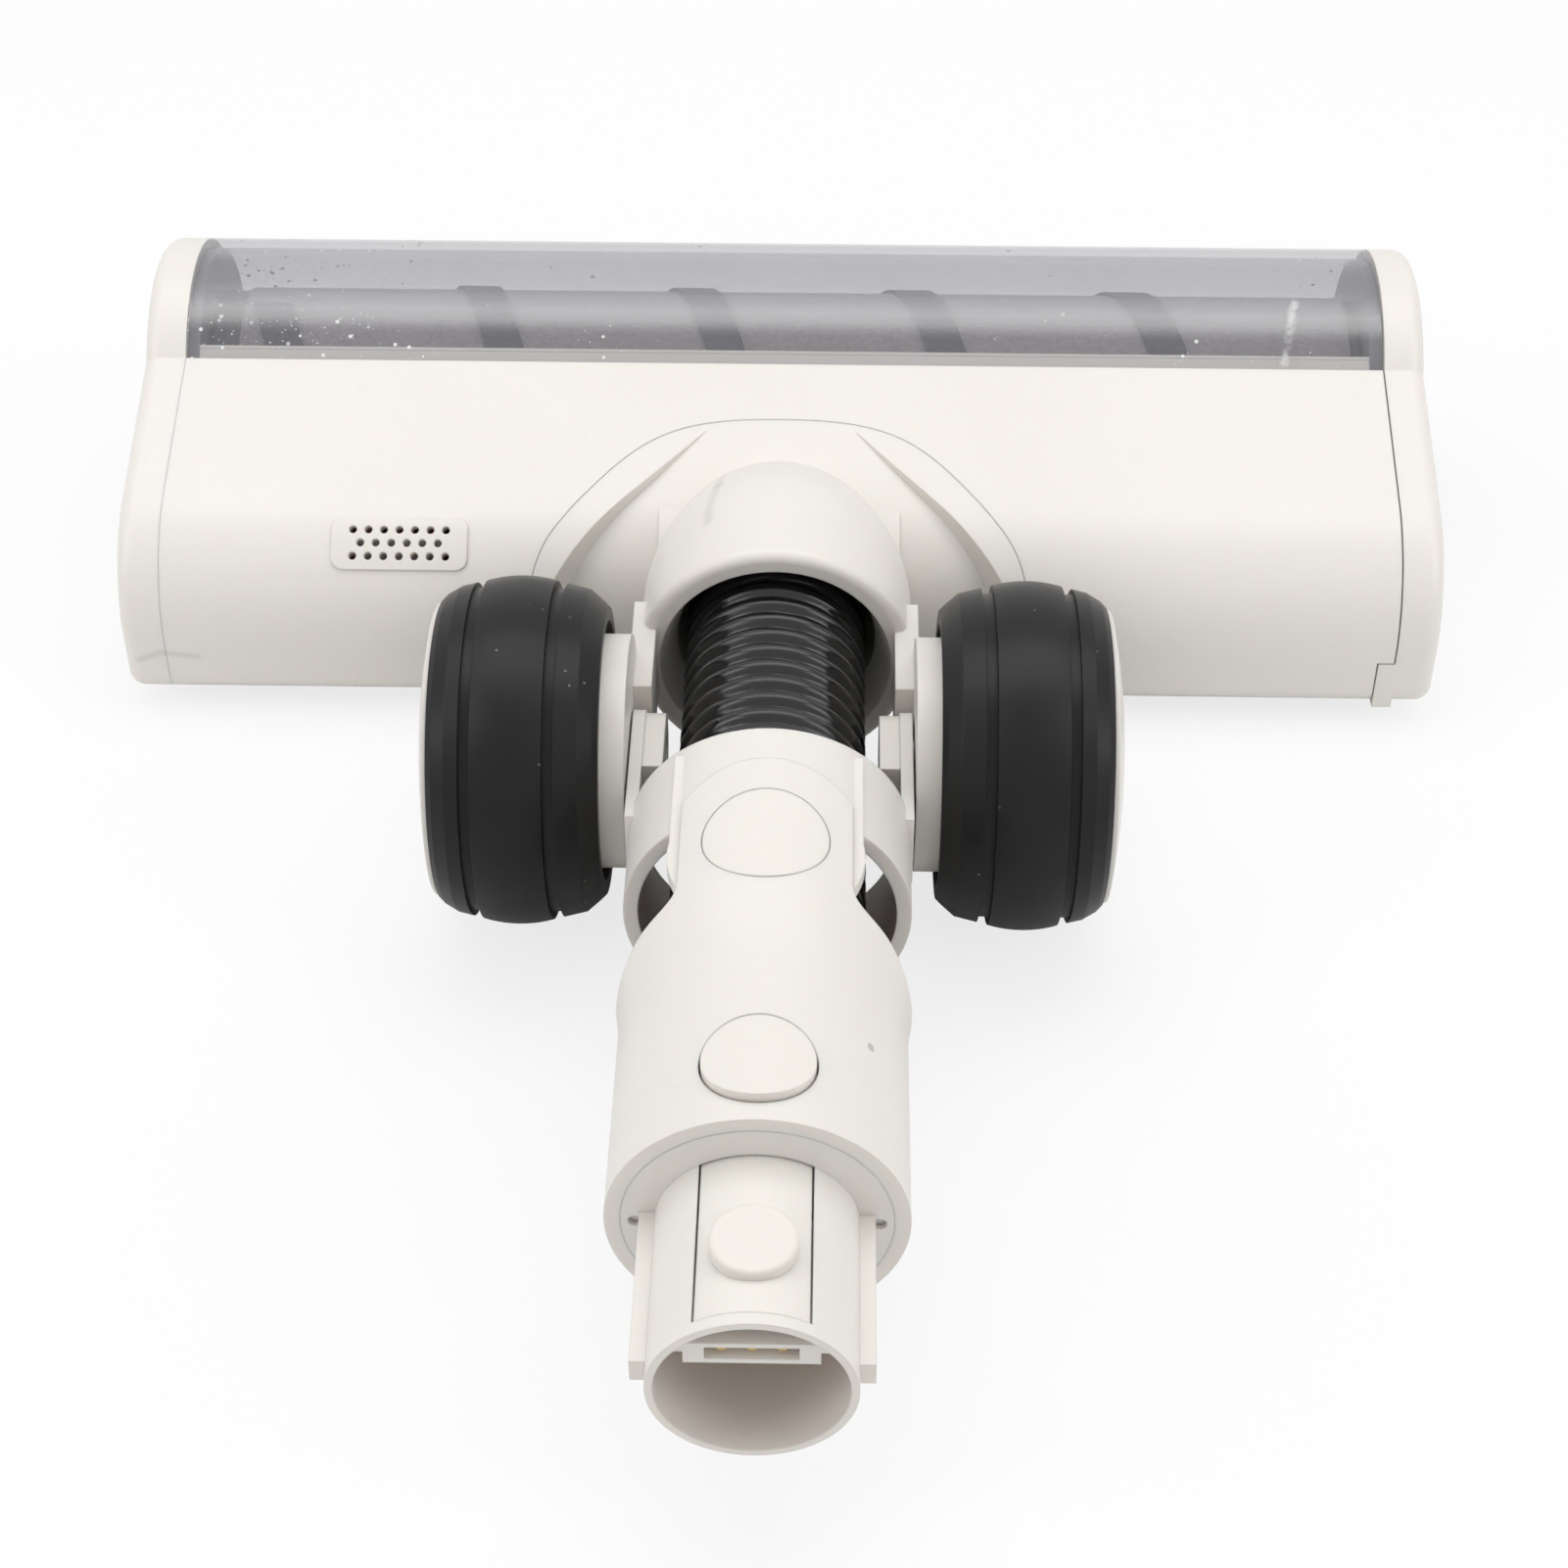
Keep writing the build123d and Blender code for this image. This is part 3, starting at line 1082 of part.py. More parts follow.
# Connector tube with its end ring, rails and latch slot
RING_THICK = 3.5
RING_START = SLEEVE_END - RING_THICK
RAIL_END = 139.3
RAIL_SPAN = 36.8
RAIL_HEIGHT = 4.4
SLOT_START = 92.5
SLOT_END = 140.5
SCREW_X = 19.0
with BuildPart() as connector_tube:
    with BuildSketch(neck_plane(TUBE_START)):
        Circle(TUBE_RADIUS)
    extrude(amount=TUBE_END - TUBE_START)
    with BuildSketch(neck_plane(SLEEVE_END)):
        Rectangle(RAIL_SPAN, RAIL_HEIGHT)
    extrude(amount=RAIL_END - SLEEVE_END)
    with BuildSketch(neck_plane(TUBE_START)):
        Circle(TUBE_RADIUS - TUBE_WALL)
    extrude(amount=TUBE_END - TUBE_START, mode=Mode.SUBTRACT)
    with BuildSketch(neck_plane(SLOT_START)):
        with Locations((0, 0)):
            Rectangle(2 * (LATCH_HALF + FIT), 30, align=(Align.CENTER, Align.MIN))
    extrude(amount=SLOT_END - SLOT_START, mode=Mode.SUBTRACT)
    with BuildSketch(neck_plane(RING_START)):
        Circle(SLEEVE_BORE)
        Circle(TUBE_RADIUS, mode=Mode.SUBTRACT)
        with Locations((-SCREW_X, 0), (SCREW_X, 0)):
            Circle(1.2, mode=Mode.SUBTRACT)
    extrude(amount=RING_THICK)
connector_tube.part.label = "connector_tube"
export_step(connector_tube.part, "parts/connector_tube.step")

with BuildPart() as neck_screws:
    with BuildSketch(neck_plane(RING_START)):
        with Locations((-SCREW_X, 0), (SCREW_X, 0)):
            Circle(1.15)
    extrude(amount=RING_THICK - 0.8)
neck_screws.part.label = "neck_screws"
export_step(neck_screws.part, "parts/neck_screws.step")

with BuildPart() as hose_cuff_rear:
    with BuildSketch(neck_plane(TUBE_START)):
        Circle(TUBE_RADIUS + 2.6)
        Circle(TUBE_RADIUS, mode=Mode.SUBTRACT)
    extrude(amount=8)
    with BuildSketch(neck_plane(TUBE_START)):
        Circle(TUBE_RADIUS + 2.6)
        Circle(HOSE_BORE, mode=Mode.SUBTRACT)
    extrude(amount=-2)
hose_cuff_rear.part.label = "hose_cuff_rear"
export_step(hose_cuff_rear.part, "parts/hose_cuff_rear.step")

# Release button and the latch plate under it, pressed down together
PLATE_OUTER = TUBE_RADIUS - 0.4
PLATE_INNER = PLATE_OUTER - 1.0
BUTTON_FLOOR = 20.6
with BuildPart() as latch_plate:
    with BuildSketch(neck_plane(SLOT_START + FIT)):
        Circle(PLATE_OUTER)
        Circle(PLATE_INNER, mode=Mode.SUBTRACT)
        with Locations((0, 0)):
            Rectangle(2 * LATCH_HALF, 30, align=(Align.CENTER, Align.MIN), mode=Mode.INTERSECT)
    extrude(amount=SLOT_END - SLOT_START - 2 * FIT)
    with BuildSketch(Plane.XY.offset(AXLE_Z + PLATE_INNER + 0.3)):
        with Locations((0, behind(LATCH_BOSS_BEHIND))):
            Circle(LATCH_BOSS)
    extrude(amount=17.4 - PLATE_INNER - 0.3)
    fillet(edges().group_by(Axis.Z)[-1], 0.8)
    with BuildSketch(Plane.XY.offset(AXLE_Z + PLATE_INNER + 0.3)):
        with Locations((0, behind(BUTTON_BEHIND))):
            Circle(4)
    extrude(amount=BUTTON_FLOOR - PLATE_INNER - 0.3)
latch_plate.part.label = "latch_plate"
export_step(latch_plate.part, "parts/latch_plate.step")

with BuildPart() as release_button:
    with BuildSketch(Plane.XY.offset(AXLE_Z + BUTTON_FLOOR)):
        with Locations((0, behind(BUTTON_BEHIND))):
            Circle(BUTTON_RADIUS)
    extrude(amount=8)
    button_top = Plane(
        origin=(0, behind(BUTTON_BEHIND - BUTTON_RADIUS), AXLE_Z),
        x_dir=(1, 0, 0),
        z_dir=(0, -math.cos(math.radians(5)), math.sin(math.radians(5))),
    )
    with BuildSketch(button_top.offset(-10)):
        Circle(SLEEVE_RADIUS)
    extrude(amount=40, mode=Mode.INTERSECT)
release_button.part.label = "release_button"
export_step(release_button.part, "parts/release_button.step")

with BuildPart() as latch_spring:
    with BuildSketch(neck_plane(TUBE_START + 1)):
        with Locations((0, 13.2)):
            Rectangle(6, 0.4)
    extrude(amount=22)
    with BuildSketch(neck_plane(TUBE_START + 1)):
        Circle(TUBE_RADIUS - TUBE_WALL)
        with Locations((0, 13.4)):
            Rectangle(6, 5, align=(Align.CENTER, Align.MIN), mode=Mode.INTERSECT)
    extrude(amount=6)
latch_spring.part.label = "latch_spring"
export_step(latch_spring.part, "parts/latch_spring.step")

# Electrical contact block in the tube's mouth
BLOCK_START = 118.0
BLOCK_END = 141.5
BLOCK_TOP = 9.8
with BuildPart() as contact_block:
    with BuildSketch(neck_plane(BLOCK_START)):
        with Locations((0, BLOCK_TOP)):
            Rectangle(20.4, 4.6, align=(Align.CENTER, Align.MAX))
            Rectangle(30, 2, align=(Align.CENTER, Align.MAX))
        Circle(TUBE_RADIUS - TUBE_WALL, mode=Mode.INTERSECT)
    extrude(amount=BLOCK_END - BLOCK_START)
    with BuildSketch(neck_plane(BLOCK_END)):
        with Locations((0, BLOCK_TOP - 2.3)):
            Rectangle(14, 2.6)
    extrude(amount=-4, mode=Mode.SUBTRACT)
contact_block.part.label = "contact_block"
export_step(contact_block.part, "parts/contact_block.step")

with BuildPart() as contact_pins:
    with BuildSketch(neck_plane(BLOCK_END - 4)):
        with Locations((-4.5, BLOCK_TOP - 2.3), (0, BLOCK_TOP - 2.3), (4.5, BLOCK_TOP - 2.3)):
            Circle(0.7)
    extrude(amount=3)
contact_pins.part.label = "contact_pins"
export_step(contact_pins.part, "parts/contact_pins.step")
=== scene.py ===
# %% [markdown]
# A vacuum's floor head, dressed for a studio picture
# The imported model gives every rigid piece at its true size, so this lesson adds what solids can't say:
# finishes, dust, a soft ribbed hose, and a studio to see them in.

# %% Load the frame
import json
import math

import bmesh
import bpy
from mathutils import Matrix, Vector


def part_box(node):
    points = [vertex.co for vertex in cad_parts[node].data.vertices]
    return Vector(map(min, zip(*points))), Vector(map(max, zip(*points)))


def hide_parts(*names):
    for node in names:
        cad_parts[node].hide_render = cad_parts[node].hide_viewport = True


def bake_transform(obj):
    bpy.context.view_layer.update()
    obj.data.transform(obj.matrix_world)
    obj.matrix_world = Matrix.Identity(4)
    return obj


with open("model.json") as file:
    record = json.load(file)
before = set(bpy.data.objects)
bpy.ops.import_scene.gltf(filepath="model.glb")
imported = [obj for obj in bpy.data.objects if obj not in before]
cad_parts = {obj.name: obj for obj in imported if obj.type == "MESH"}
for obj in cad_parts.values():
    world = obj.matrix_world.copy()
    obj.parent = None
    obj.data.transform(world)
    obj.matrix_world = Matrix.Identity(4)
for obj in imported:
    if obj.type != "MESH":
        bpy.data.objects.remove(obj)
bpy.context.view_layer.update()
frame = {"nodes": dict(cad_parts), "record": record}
nodes = frame["nodes"]
print(len(nodes), "pieces in the frame")

# %% [markdown]
# The main places are read from the frame. The wheel axle is the neck's pitch pin and the middle of the
# wheels, the swivel stands behind it, and the roller's axis gives the middle of the round window.

# %% Places read from the frame
MM = 0.001


def middle(node):
    """Middle of a node's box, in metres."""
    low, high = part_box(node)
    return (low + high) / 2


axle = middle("tyre_left")
axle.x = 0
window_low, window_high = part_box("window")
cover_radius = 29.5 * MM
cover_axis = Vector((0, window_high.y - cover_radius, window_high.z - cover_radius))

# %% [markdown]
# Shader maths reads best as sums. This small class holds one output of a shader tree. Adding or
# multiplying two of them adds a Math node, and its node method makes every other kind of node.


# %% A socket that can be used in sums
class Paint:
    """One output in a shader tree, with arithmetic."""

    def __init__(self, tree, socket=None):
        self.tree = tree
        self.socket = socket

    def node(self, kind, settings, sockets, output=0):
        """Adds a node: its settings first, then values or links for its sockets."""
        made = self.tree.nodes.new(kind)
        for name, value in settings.items():
            if name == "stops":
                ramp = made.color_ramp
                for spare in range(len(value) - 2):
                    ramp.elements.new(0.5)
                for element, (place, colour) in zip(ramp.elements, value):
                    element.position = place
                    element.color = colour
            else:
                setattr(made, name, value)
        for key, value in sockets.items():
            if isinstance(value, Paint):
                self.tree.links.new(value.socket, made.inputs[key])
            else:
                made.inputs[key].default_value = value
        return Paint(self.tree, made.outputs[output])

    def maths(self, operation, first, second=0.0):
        return self.node("ShaderNodeMath", {"operation": operation}, {0: first, 1: second})

    def __add__(self, other):
        return self.maths("ADD", self, other)

    __radd__ = __add__

    def __sub__(self, other):
        return self.maths("SUBTRACT", self, other)

    def __rsub__(self, other):
        return self.maths("SUBTRACT", other, self)

    def __mul__(self, other):
        return self.maths("MULTIPLY", self, other)

    __rmul__ = __mul__

    def __truediv__(self, other):
        return self.maths("DIVIDE", self, other)

    def __gt__(self, other):
        return self.maths("GREATER_THAN", self, other)

    def above(self, low, high):
        """0 below low, 1 above high, smooth between."""
        limits = {"Value": self, "From Min": low, "From Max": high}
        return self.node("ShaderNodeMapRange", {"interpolation_type": "SMOOTHSTEP"}, limits)

    def limited(self):
        """Held between 0 and 1."""
        return self.node("ShaderNodeClamp", {}, {"Value": self})

    def places(self):
        """Position on the piece, in metres of the shared frame."""
        return self.node("ShaderNodeTexCoord", {}, {}, output="Object")

    def noise(self, scale, detail=2.0, vector=None):
        sockets = {"Vector": vector or self.places(), "Scale": scale, "Detail": detail}
        return self.node("ShaderNodeTexNoise", {}, sockets, output="Fac")

    def part(self, axis, vector=None):
        """One coordinate of a vector."""
        return self.node("ShaderNodeSeparateXYZ", {}, {0: vector or self.places()}, output=axis)

    def distance(self, point, vector=None):
        """Distance of the surface from a point, in metres."""
        sockets = {0: vector or self.places(), 1: tuple(point)}
        return self.node("ShaderNodeVectorMath", {"operation": "DISTANCE"}, sockets, output="Value")

    def mix(self, factor, first, second):
        """Colour that goes from first to second."""
        settings = {"data_type": "RGBA"}
        return self.node("ShaderNodeMix", settings, {0: factor, 6: first, 7: second}, output=2)

    def bump(self, height, strength, depth, normal=None):
        sockets = {"Height": height, "Strength": strength, "Distance": depth}
        if normal:
            sockets["Normal"] = normal
        return self.node("ShaderNodeBump", {}, sockets)


def material(name):
    """New material: returns it, its Principled shader and a Paint for its tree."""
    made = bpy.data.materials.new(name)
    made.use_nodes = True
    tree = made.node_tree
    return made, tree.nodes["Principled BSDF"], Paint(tree)


def link(paint, shader, socket):
    paint.tree.links.new(paint.socket, shader.inputs[socket])


print("shader tools ready")

# %% [markdown]
# The shell is cream plastic from polished moulds. A studio picture shows it as white with warm shade, a
# soft sheen and slightly rounded edges. A Bevel node rounds every edge by a fraction of a millimetre,
# a fine grain keeps the sheen from looking like paint, and wide faint noise gives it age. Light sinks a
# little way into such plastic and comes out warmer, which keeps seams and hollows beige.
# Handling has left a few marks: strokes of grey on hood and cap, a dot on the sleeve, tiny dark specks.

# %% Cream plastic
CREAM = (0.79, 0.76, 0.72, 1)
CREAM_SHADE = (0.755, 0.715, 0.665, 1)
MARK = (0.42, 0.39, 0.36, 1)
CHAMBER_GREY = (0.30, 0.30, 0.31, 1)
EDGE_ROUND = 0.45 * MM
AGE_SHARE = 0.35
GRIME_SHARE = 0.05
STROKE_SHARE = 0.28
SPECK_SHARE = 0.75
GLOW_SHARE = 0.25
GLOW_DEPTH = 2.5 * MM
GLOW_REACH = (1.0, 0.55, 0.35)

strokes = [
    (Vector((-0.0100, 0.0638, 0.0454)), Vector((-0.0116, 0.0496, 0.0528)), 1.1 * MM),
    (Vector((-0.0116, 0.0496, 0.0528)), Vector((-0.0132, 0.0359, 0.0544)), 1.1 * MM),
    (Vector((-0.1285, 0.044, 0.0125)), Vector((-0.1235, 0.0435, 0.0145)), 0.8 * MM),
    (Vector((-0.1225, 0.0434, 0.0143)), Vector((-0.1165, 0.0433, 0.0135)), 0.8 * MM),
]
specks = [
    (Vector((-0.0405, 0.0625, 0.0395)), 0.35 * MM),
    (Vector((0.0255, 0.0520, 0.0372)), 0.35 * MM),
    (Vector((-0.0300, 0.0465, 0.0300)), 0.3 * MM),
    (Vector((0.0175, -0.0930, 0.0485)), 0.9 * MM),
]


def stroke_mask(paint, start, end, width):
    """1 on a soft stroke from start to end, 0 away from it."""
    places = paint.places()
    run = end - start
    away = paint.node("ShaderNodeVectorMath", {"operation": "SUBTRACT"}, {0: places, 1: tuple(start)})
    along = paint.node(
        "ShaderNodeVectorMath", {"operation": "DOT_PRODUCT"}, {0: away, 1: tuple(run)}, output="Value"
    )
    share = (along / run.length_squared).limited()
    nearest = paint.node(
        "ShaderNodeVectorMath", {"operation": "SCALE"}, {0: tuple(run), "Scale": share}
    )
    gap = paint.node(
        "ShaderNodeVectorMath", {"operation": "DISTANCE"}, {0: away, 1: nearest}, output="Value"
    )
    return 1 - gap.above(0.2 * width, 1.6 * width)


def cream_plastic(name, colour=CREAM, roughness=0.34, marks=False, chamber=False):
    made, shader, paint = material(name)
    age = paint.noise(18, 3).above(0.35, 0.75)
    tint = paint.mix(age * AGE_SHARE, colour, CREAM_SHADE)
    grime = paint.noise(240, 4).above(0.62, 0.8)
    tint = paint.mix(grime * GRIME_SHARE, tint, MARK)
    if marks:
        for start, end, width in strokes:
            stroke = stroke_mask(paint, start, end, width)
            tint = paint.mix(stroke * STROKE_SHARE, tint, MARK)
        for point, size in specks:
            speck = 1 - paint.distance(point).above(size * 0.7, size)
            tint = paint.mix(speck * SPECK_SHARE, tint, MARK)
    # Faces within the window's radius of the roller's axis are coloured dark grey.
    if chamber:
        sockets = {0: paint.places(), 1: (0, 1, 1)}
        flat = paint.node("ShaderNodeVectorMath", {"operation": "MULTIPLY"}, sockets)
        inside = 1 - paint.distance(cover_axis, flat).above(cover_radius * 0.925, cover_radius * 0.935)
        tint = paint.mix(inside, tint, CHAMBER_GREY)
    link(tint, shader, "Base Color")
    link(roughness + age * 0.06 + grime * 0.05, shader, "Roughness")
    edge = paint.node("ShaderNodeBevel", {"samples": 4}, {"Radius": EDGE_ROUND})
    grain = paint.noise(2600, 2)
    link(paint.bump(grain, 0.05, 0.05 * MM, edge), shader, "Normal")
    shader.inputs["Specular IOR Level"].default_value = 0.45
    shader.inputs["Subsurface Weight"].default_value = GLOW_SHARE
    shader.inputs["Subsurface Scale"].default_value = GLOW_DEPTH
    shader.inputs["Subsurface Radius"].default_value = GLOW_REACH
    return made


shell = cream_plastic("cream shell", marks=True)
shell_chamber = cream_plastic("cream shell with grey chamber", marks=True, chamber=True)
shell_bright = cream_plastic("cream fittings", (0.81, 0.775, 0.725, 1), 0.3)
print("cream plastic made")

# %% [markdown]
# The window is thin clear plastic, bent round the roller. Real refraction through two skins is slow and
# noisy, so a gloss is laid over plain transparency. Dust lies on it as white specks, thickest near the
# left end. A Voronoi pattern gives round grains, and a noise decides where they gather. A pale band
# along its upper bend is painted reflection: it lightens the colour and thickens the cover there.

# %% Clear dusty window
HAZE = 0.17
DUST = (0.80, 0.80, 0.80, 1)
CLEAR = (0.45, 0.45, 0.47, 1)
# Heights below the window's top where the painted reflection band rises, peaks and fades.
PAINTED_REFLECTION_BAND = (6.3 * MM, 3.9 * MM, 3.4 * MM, 1.5 * MM)
RIM_COVER = 0.45
# Extra cover where the painted reflection band lies.
PAINTED_REFLECTION_COVER = 0.2
WHITE_COVER = 0.75
GRAINS = ((330, 0.17), (760, 0.15))
FEWEST = 0.72
SMEAR_WIDTH = 1.1 * MM
left_end = window_low.x


def clear_window():
    made, shader, paint = material("clear window")
    places = paint.places()
    across = paint.part("X", places)
    up = paint.part("Z", places)
    near_left = 1 - across.above(left_end + 4 * MM, left_end + 70 * MM)
    low_down = 1 - up.above(window_high.z - 7 * MM, window_high.z - 1.5 * MM)
    gather = paint.noise(38, 2).above(0.42, 0.66)
    amount = gather * 0.55 + near_left * 0.7
    specks_mask = 0
    for scale, size in GRAINS:
        sockets = {"Vector": places, "Scale": scale, "Randomness": 1.0}
        cells = paint.node("ShaderNodeTexVoronoi", {"feature": "F1"}, sockets)
        chosen = paint.node("ShaderNodeTexVoronoi", {"feature": "F1"}, sockets, output="Color")
        lucky = paint.part("X", chosen)
        grain = (1 - cells.above(size * 0.7, size)) * (amount * 0.55 + lucky * 0.6 > FEWEST)
        specks_mask = grain + specks_mask
    dust = (specks_mask * low_down).limited()
    smear_low = Vector((0.1025, window_low.y + 1 * MM, window_high.z - 9 * MM))
    smear_high = Vector((0.1050, window_low.y + 12 * MM, window_high.z - 2 * MM))
    smear = stroke_mask(paint, smear_low, smear_high, SMEAR_WIDTH)
    smear = smear * paint.noise(420, 2).above(0.35, 0.6)
    white = (dust + smear * 0.6).limited()
    # Painted reflection: a pale band along the upper bend, lighter in colour and less see-through.
    rise, crest, fall, end = (window_high.z - drop for drop in PAINTED_REFLECTION_BAND)
    painted_reflection = up.above(rise, crest) * (1 - up.above(fall, end))
    # The pale share is the white of dust and smear plus the painted reflection band.
    pale = (white + painted_reflection * 0.6).limited()
    link(paint.mix(pale, CLEAR, DUST), shader, "Base Color")
    link(0.09 + white * 0.6 + paint.noise(60, 3) * 0.05, shader, "Roughness")
    rim = paint.node("ShaderNodeLayerWeight", {}, {"Blend": 0.32}, output="Facing")
    cover = HAZE + rim * rim * RIM_COVER + painted_reflection * PAINTED_REFLECTION_COVER + white * WHITE_COVER
    see_through = paint.node("ShaderNodeBsdfTransparent", {}, {"Color": (0.93, 0.93, 0.94, 1)})
    body = Paint(paint.tree, shader.outputs["BSDF"])
    both = paint.node("ShaderNodeMixShader", {}, {0: cover.limited(), 1: see_through, 2: body})
    link(both, paint.tree.nodes["Material Output"], "Surface")
    link(paint.bump(paint.noise(90, 2), 0.08, 0.2 * MM), shader, "Normal")
    return made


window_finish = clear_window()
print("window made")

# %% [markdown]
# Under the window turns a roller. Its grey pile is soft and scatters light, so it gets a rough, slightly
# mottled colour and a deep fine bump, with sheen for the tips of the fibres. The spiral strip
# is of stiff dark bristles, which lie in rows across the strip.

# %% Pile and bristle
PILE = (0.52, 0.475, 0.475, 1)
PILE_DARK = (0.38, 0.345, 0.35, 1)
BRISTLE = (0.055, 0.06, 0.072, 1)
BRISTLE_PALE = (0.12, 0.125, 0.14, 1)


def fibres(name, colour, other, scale, depth):
    made, shader, paint = material(name)
    clumps = paint.noise(scale, 4)
    wide = paint.noise(55, 2)
    link(paint.mix(clumps.above(0.35, 0.7) * 0.6 + wide * 0.4, colour, other), shader, "Base Color")
    link(0.85 + clumps * 0.1, shader, "Roughness")
    link(paint.bump(clumps + paint.noise(scale * 3, 2), 0.9, depth), shader, "Normal")
    shader.inputs["Sheen Weight"].default_value = 0.5
    shader.inputs["Sheen Roughness"].default_value = 0.4
    return made


pile = fibres("grey pile", PILE_DARK, PILE, 900, 0.6 * MM)
bristle = fibres("dark bristle", BRISTLE, BRISTLE_PALE, 1500, 0.5 * MM)
print("fibres made")

# %% [markdown]
# The tyres are matte black rubber, a little paler where they have rolled, with pinhead dust. The hose is
# black too, but it's smooth plastic, so it shines. The same small function gives both, with different
# colour, gloss and grain.

# %% Rubber and dark plastics
DUST_DOTS = (0.35, 0.34, 0.33, 1)


def dark_finish(name, colour, pale, roughness, grain, gloss=0.5, dust=0.0):
    """Finish in two tones; grain is the scale and depth of its bump."""
    made, shader, paint = material(name)
    worn = paint.noise(70, 4).above(0.45, 0.75)
    tint = paint.mix(worn * 0.4, colour, pale)
    if dust:
        cells = paint.node("ShaderNodeTexVoronoi", {}, {"Vector": paint.places(), "Scale": 260.0})
        dots = (1 - cells.above(0.05, 0.08)) * paint.noise(45, 2).above(0.5, 0.7)
        tint = paint.mix(dots * dust, tint, DUST_DOTS)
    link(tint, shader, "Base Color")
    link(roughness + worn * 0.08, shader, "Roughness")
    edge = paint.node("ShaderNodeBevel", {"samples": 4}, {"Radius": 0.3 * MM})
    scale, depth = grain
    link(paint.bump(paint.noise(scale, 3), 0.12, depth, edge), shader, "Normal")
    shader.inputs["Specular IOR Level"].default_value = gloss
    return made


def grey(tone):
    return (tone, tone, tone, 1)


FINE = (1900, 0.08 * MM)
SMOOTH = (800, 0.05 * MM)
MOULDED = (1500, 0.05 * MM)
tyre_rubber = dark_finish("tyre rubber", grey(0.006), grey(0.013), 0.36, FINE, 0.24, 0.5)
hose_plastic = dark_finish("hose plastic", grey(0.005), (0.016, 0.014, 0.013, 1), 0.17, SMOOTH, 0.5, 0.3)
dark_plastic = dark_finish("dark plastic", grey(0.045), grey(0.07), 0.45, MOULDED)
soft_rubber = dark_finish("soft rubber", grey(0.03), grey(0.05), 0.6, FINE)
core_plastic = dark_finish("grey tube", grey(0.25), grey(0.3), 0.5, MOULDED)
board_green = dark_finish("board laminate", (0.03, 0.14, 0.07, 1), (0.05, 0.2, 0.1, 1), 0.4, SMOOTH)
print("dark finishes made")

# %% [markdown]
# Pins, clips, screws and the motor's can are plain metal. Fine lines from drawing or turning run along X,
# so the noise is stretched that way, and it drives both gloss and a very shallow bump.

# %% Metals


def metal(name, colour, roughness):
    made, shader, paint = material(name)
    shader.inputs["Metallic"].default_value = 1.0
    stretched = paint.node(
        "ShaderNodeVectorMath", {"operation": "MULTIPLY"}, {0: paint.places(), 1: (60, 2400, 2400)}
    )
    lines = paint.noise(1.0, 3, stretched)
    dull = paint.noise(120, 3).above(0.4, 0.8)
    link(paint.mix(dull * 0.3, colour, tuple(v * 0.6 for v in colour[:3]) + (1,)), shader, "Base Color")
    link(roughness + lines * 0.12, shader, "Roughness")
    link(paint.bump(lines, 0.1, 0.02 * MM), shader, "Normal")
    return made


steel = metal("steel", (0.55, 0.55, 0.56, 1), 0.3)
brass = metal("contact plating", (0.75, 0.58, 0.28, 1), 0.25)
print("metals made")

# %% [markdown]
# Each node of the frame now takes the finish of its record slot. Two kinds of piece differ from their
# slot: the housing and the right cap close the roller's chamber, and their faces inside it are coloured
# dark grey.

# %% Finishes by slot
finish_of_slot = {
    "shell": shell,
    "clear_cover": window_finish,
    "dark_plastic": dark_plastic,
    "core_tube": core_plastic,
    "velvet": pile,
    "bristle": bristle,
    "tyre": tyre_rubber,
    "hose": hose_plastic,
    "rubber": soft_rubber,
    "steel": steel,
    "board": board_green,
    "contacts": brass,
}
chamber_nodes = ("upper_housing", "right_end_cap")
bushes = ("pivot_bush_left", "pivot_bush_right")
fitting_nodes = ("upper_swivel_cap", "release_button", "latch_plate") + bushes
for entry in frame["record"]["subparts"]:
    node = entry["node"]
    chosen = finish_of_slot[entry["material_slot"]]
    if node in chamber_nodes:
        chosen = shell_chamber
    if node in fitting_nodes:
        chosen = shell_bright
    mesh = nodes[node].data
    mesh.materials.clear()
    mesh.materials.append(chosen)
print("finishes given to", len(nodes), "nodes")

# %% [markdown]
# The hose is a spiral of plastic rib and thin web. The solid in the frame has plain rings, and here a
# finer skin takes its place: the radius rises and falls along the hose, and turning the rise by one pitch
# a turn makes it a spiral. It crosses two joints, so it is made in two halves, which meet inside the
# collar.

# %% Ribbed hose
hose_low, hose_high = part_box("hose")
RIB_PITCH = 4.5 * MM
RIB_HIGH = (hose_high.x - hose_low.x) / 2 - 0.05 * MM
RIB_DEEP = 1.5 * MM
STEPS_AROUND = 72
STEPS_PER_RIB = 10
RIB_SHARE = 0.78
WIRE_RISE = 0.22 * MM
WIRE_PLACE = 0.2
WIRE_WIDTH = 0.05
HOSE_BORE = 15 * MM


def rib_radius(turns):
    """Radius of the hose skin, where turns counts ribs along it."""
    share = turns % 1.0
    round_rib = math.sin(math.pi * share / RIB_SHARE) ** 0.6 if share < RIB_SHARE else 0.0
    wire = WIRE_RISE * math.exp(-(((share - WIRE_PLACE) / WIRE_WIDTH) ** 2))
    return RIB_HIGH - RIB_DEEP * (1 - round_rib) - 0.25 * MM + wire


def hose_ring(skin, y, radius_at):
    """Ring of points round the hose; radius_at takes the share of a turn."""
    ring = []
    for k in range(STEPS_AROUND):
        turn = 2 * math.pi * k / STEPS_AROUND
        radius = radius_at(k / STEPS_AROUND)
        ring.append(skin.verts.new((radius * math.cos(turn), y, axle.z + radius * math.sin(turn))))
    return ring


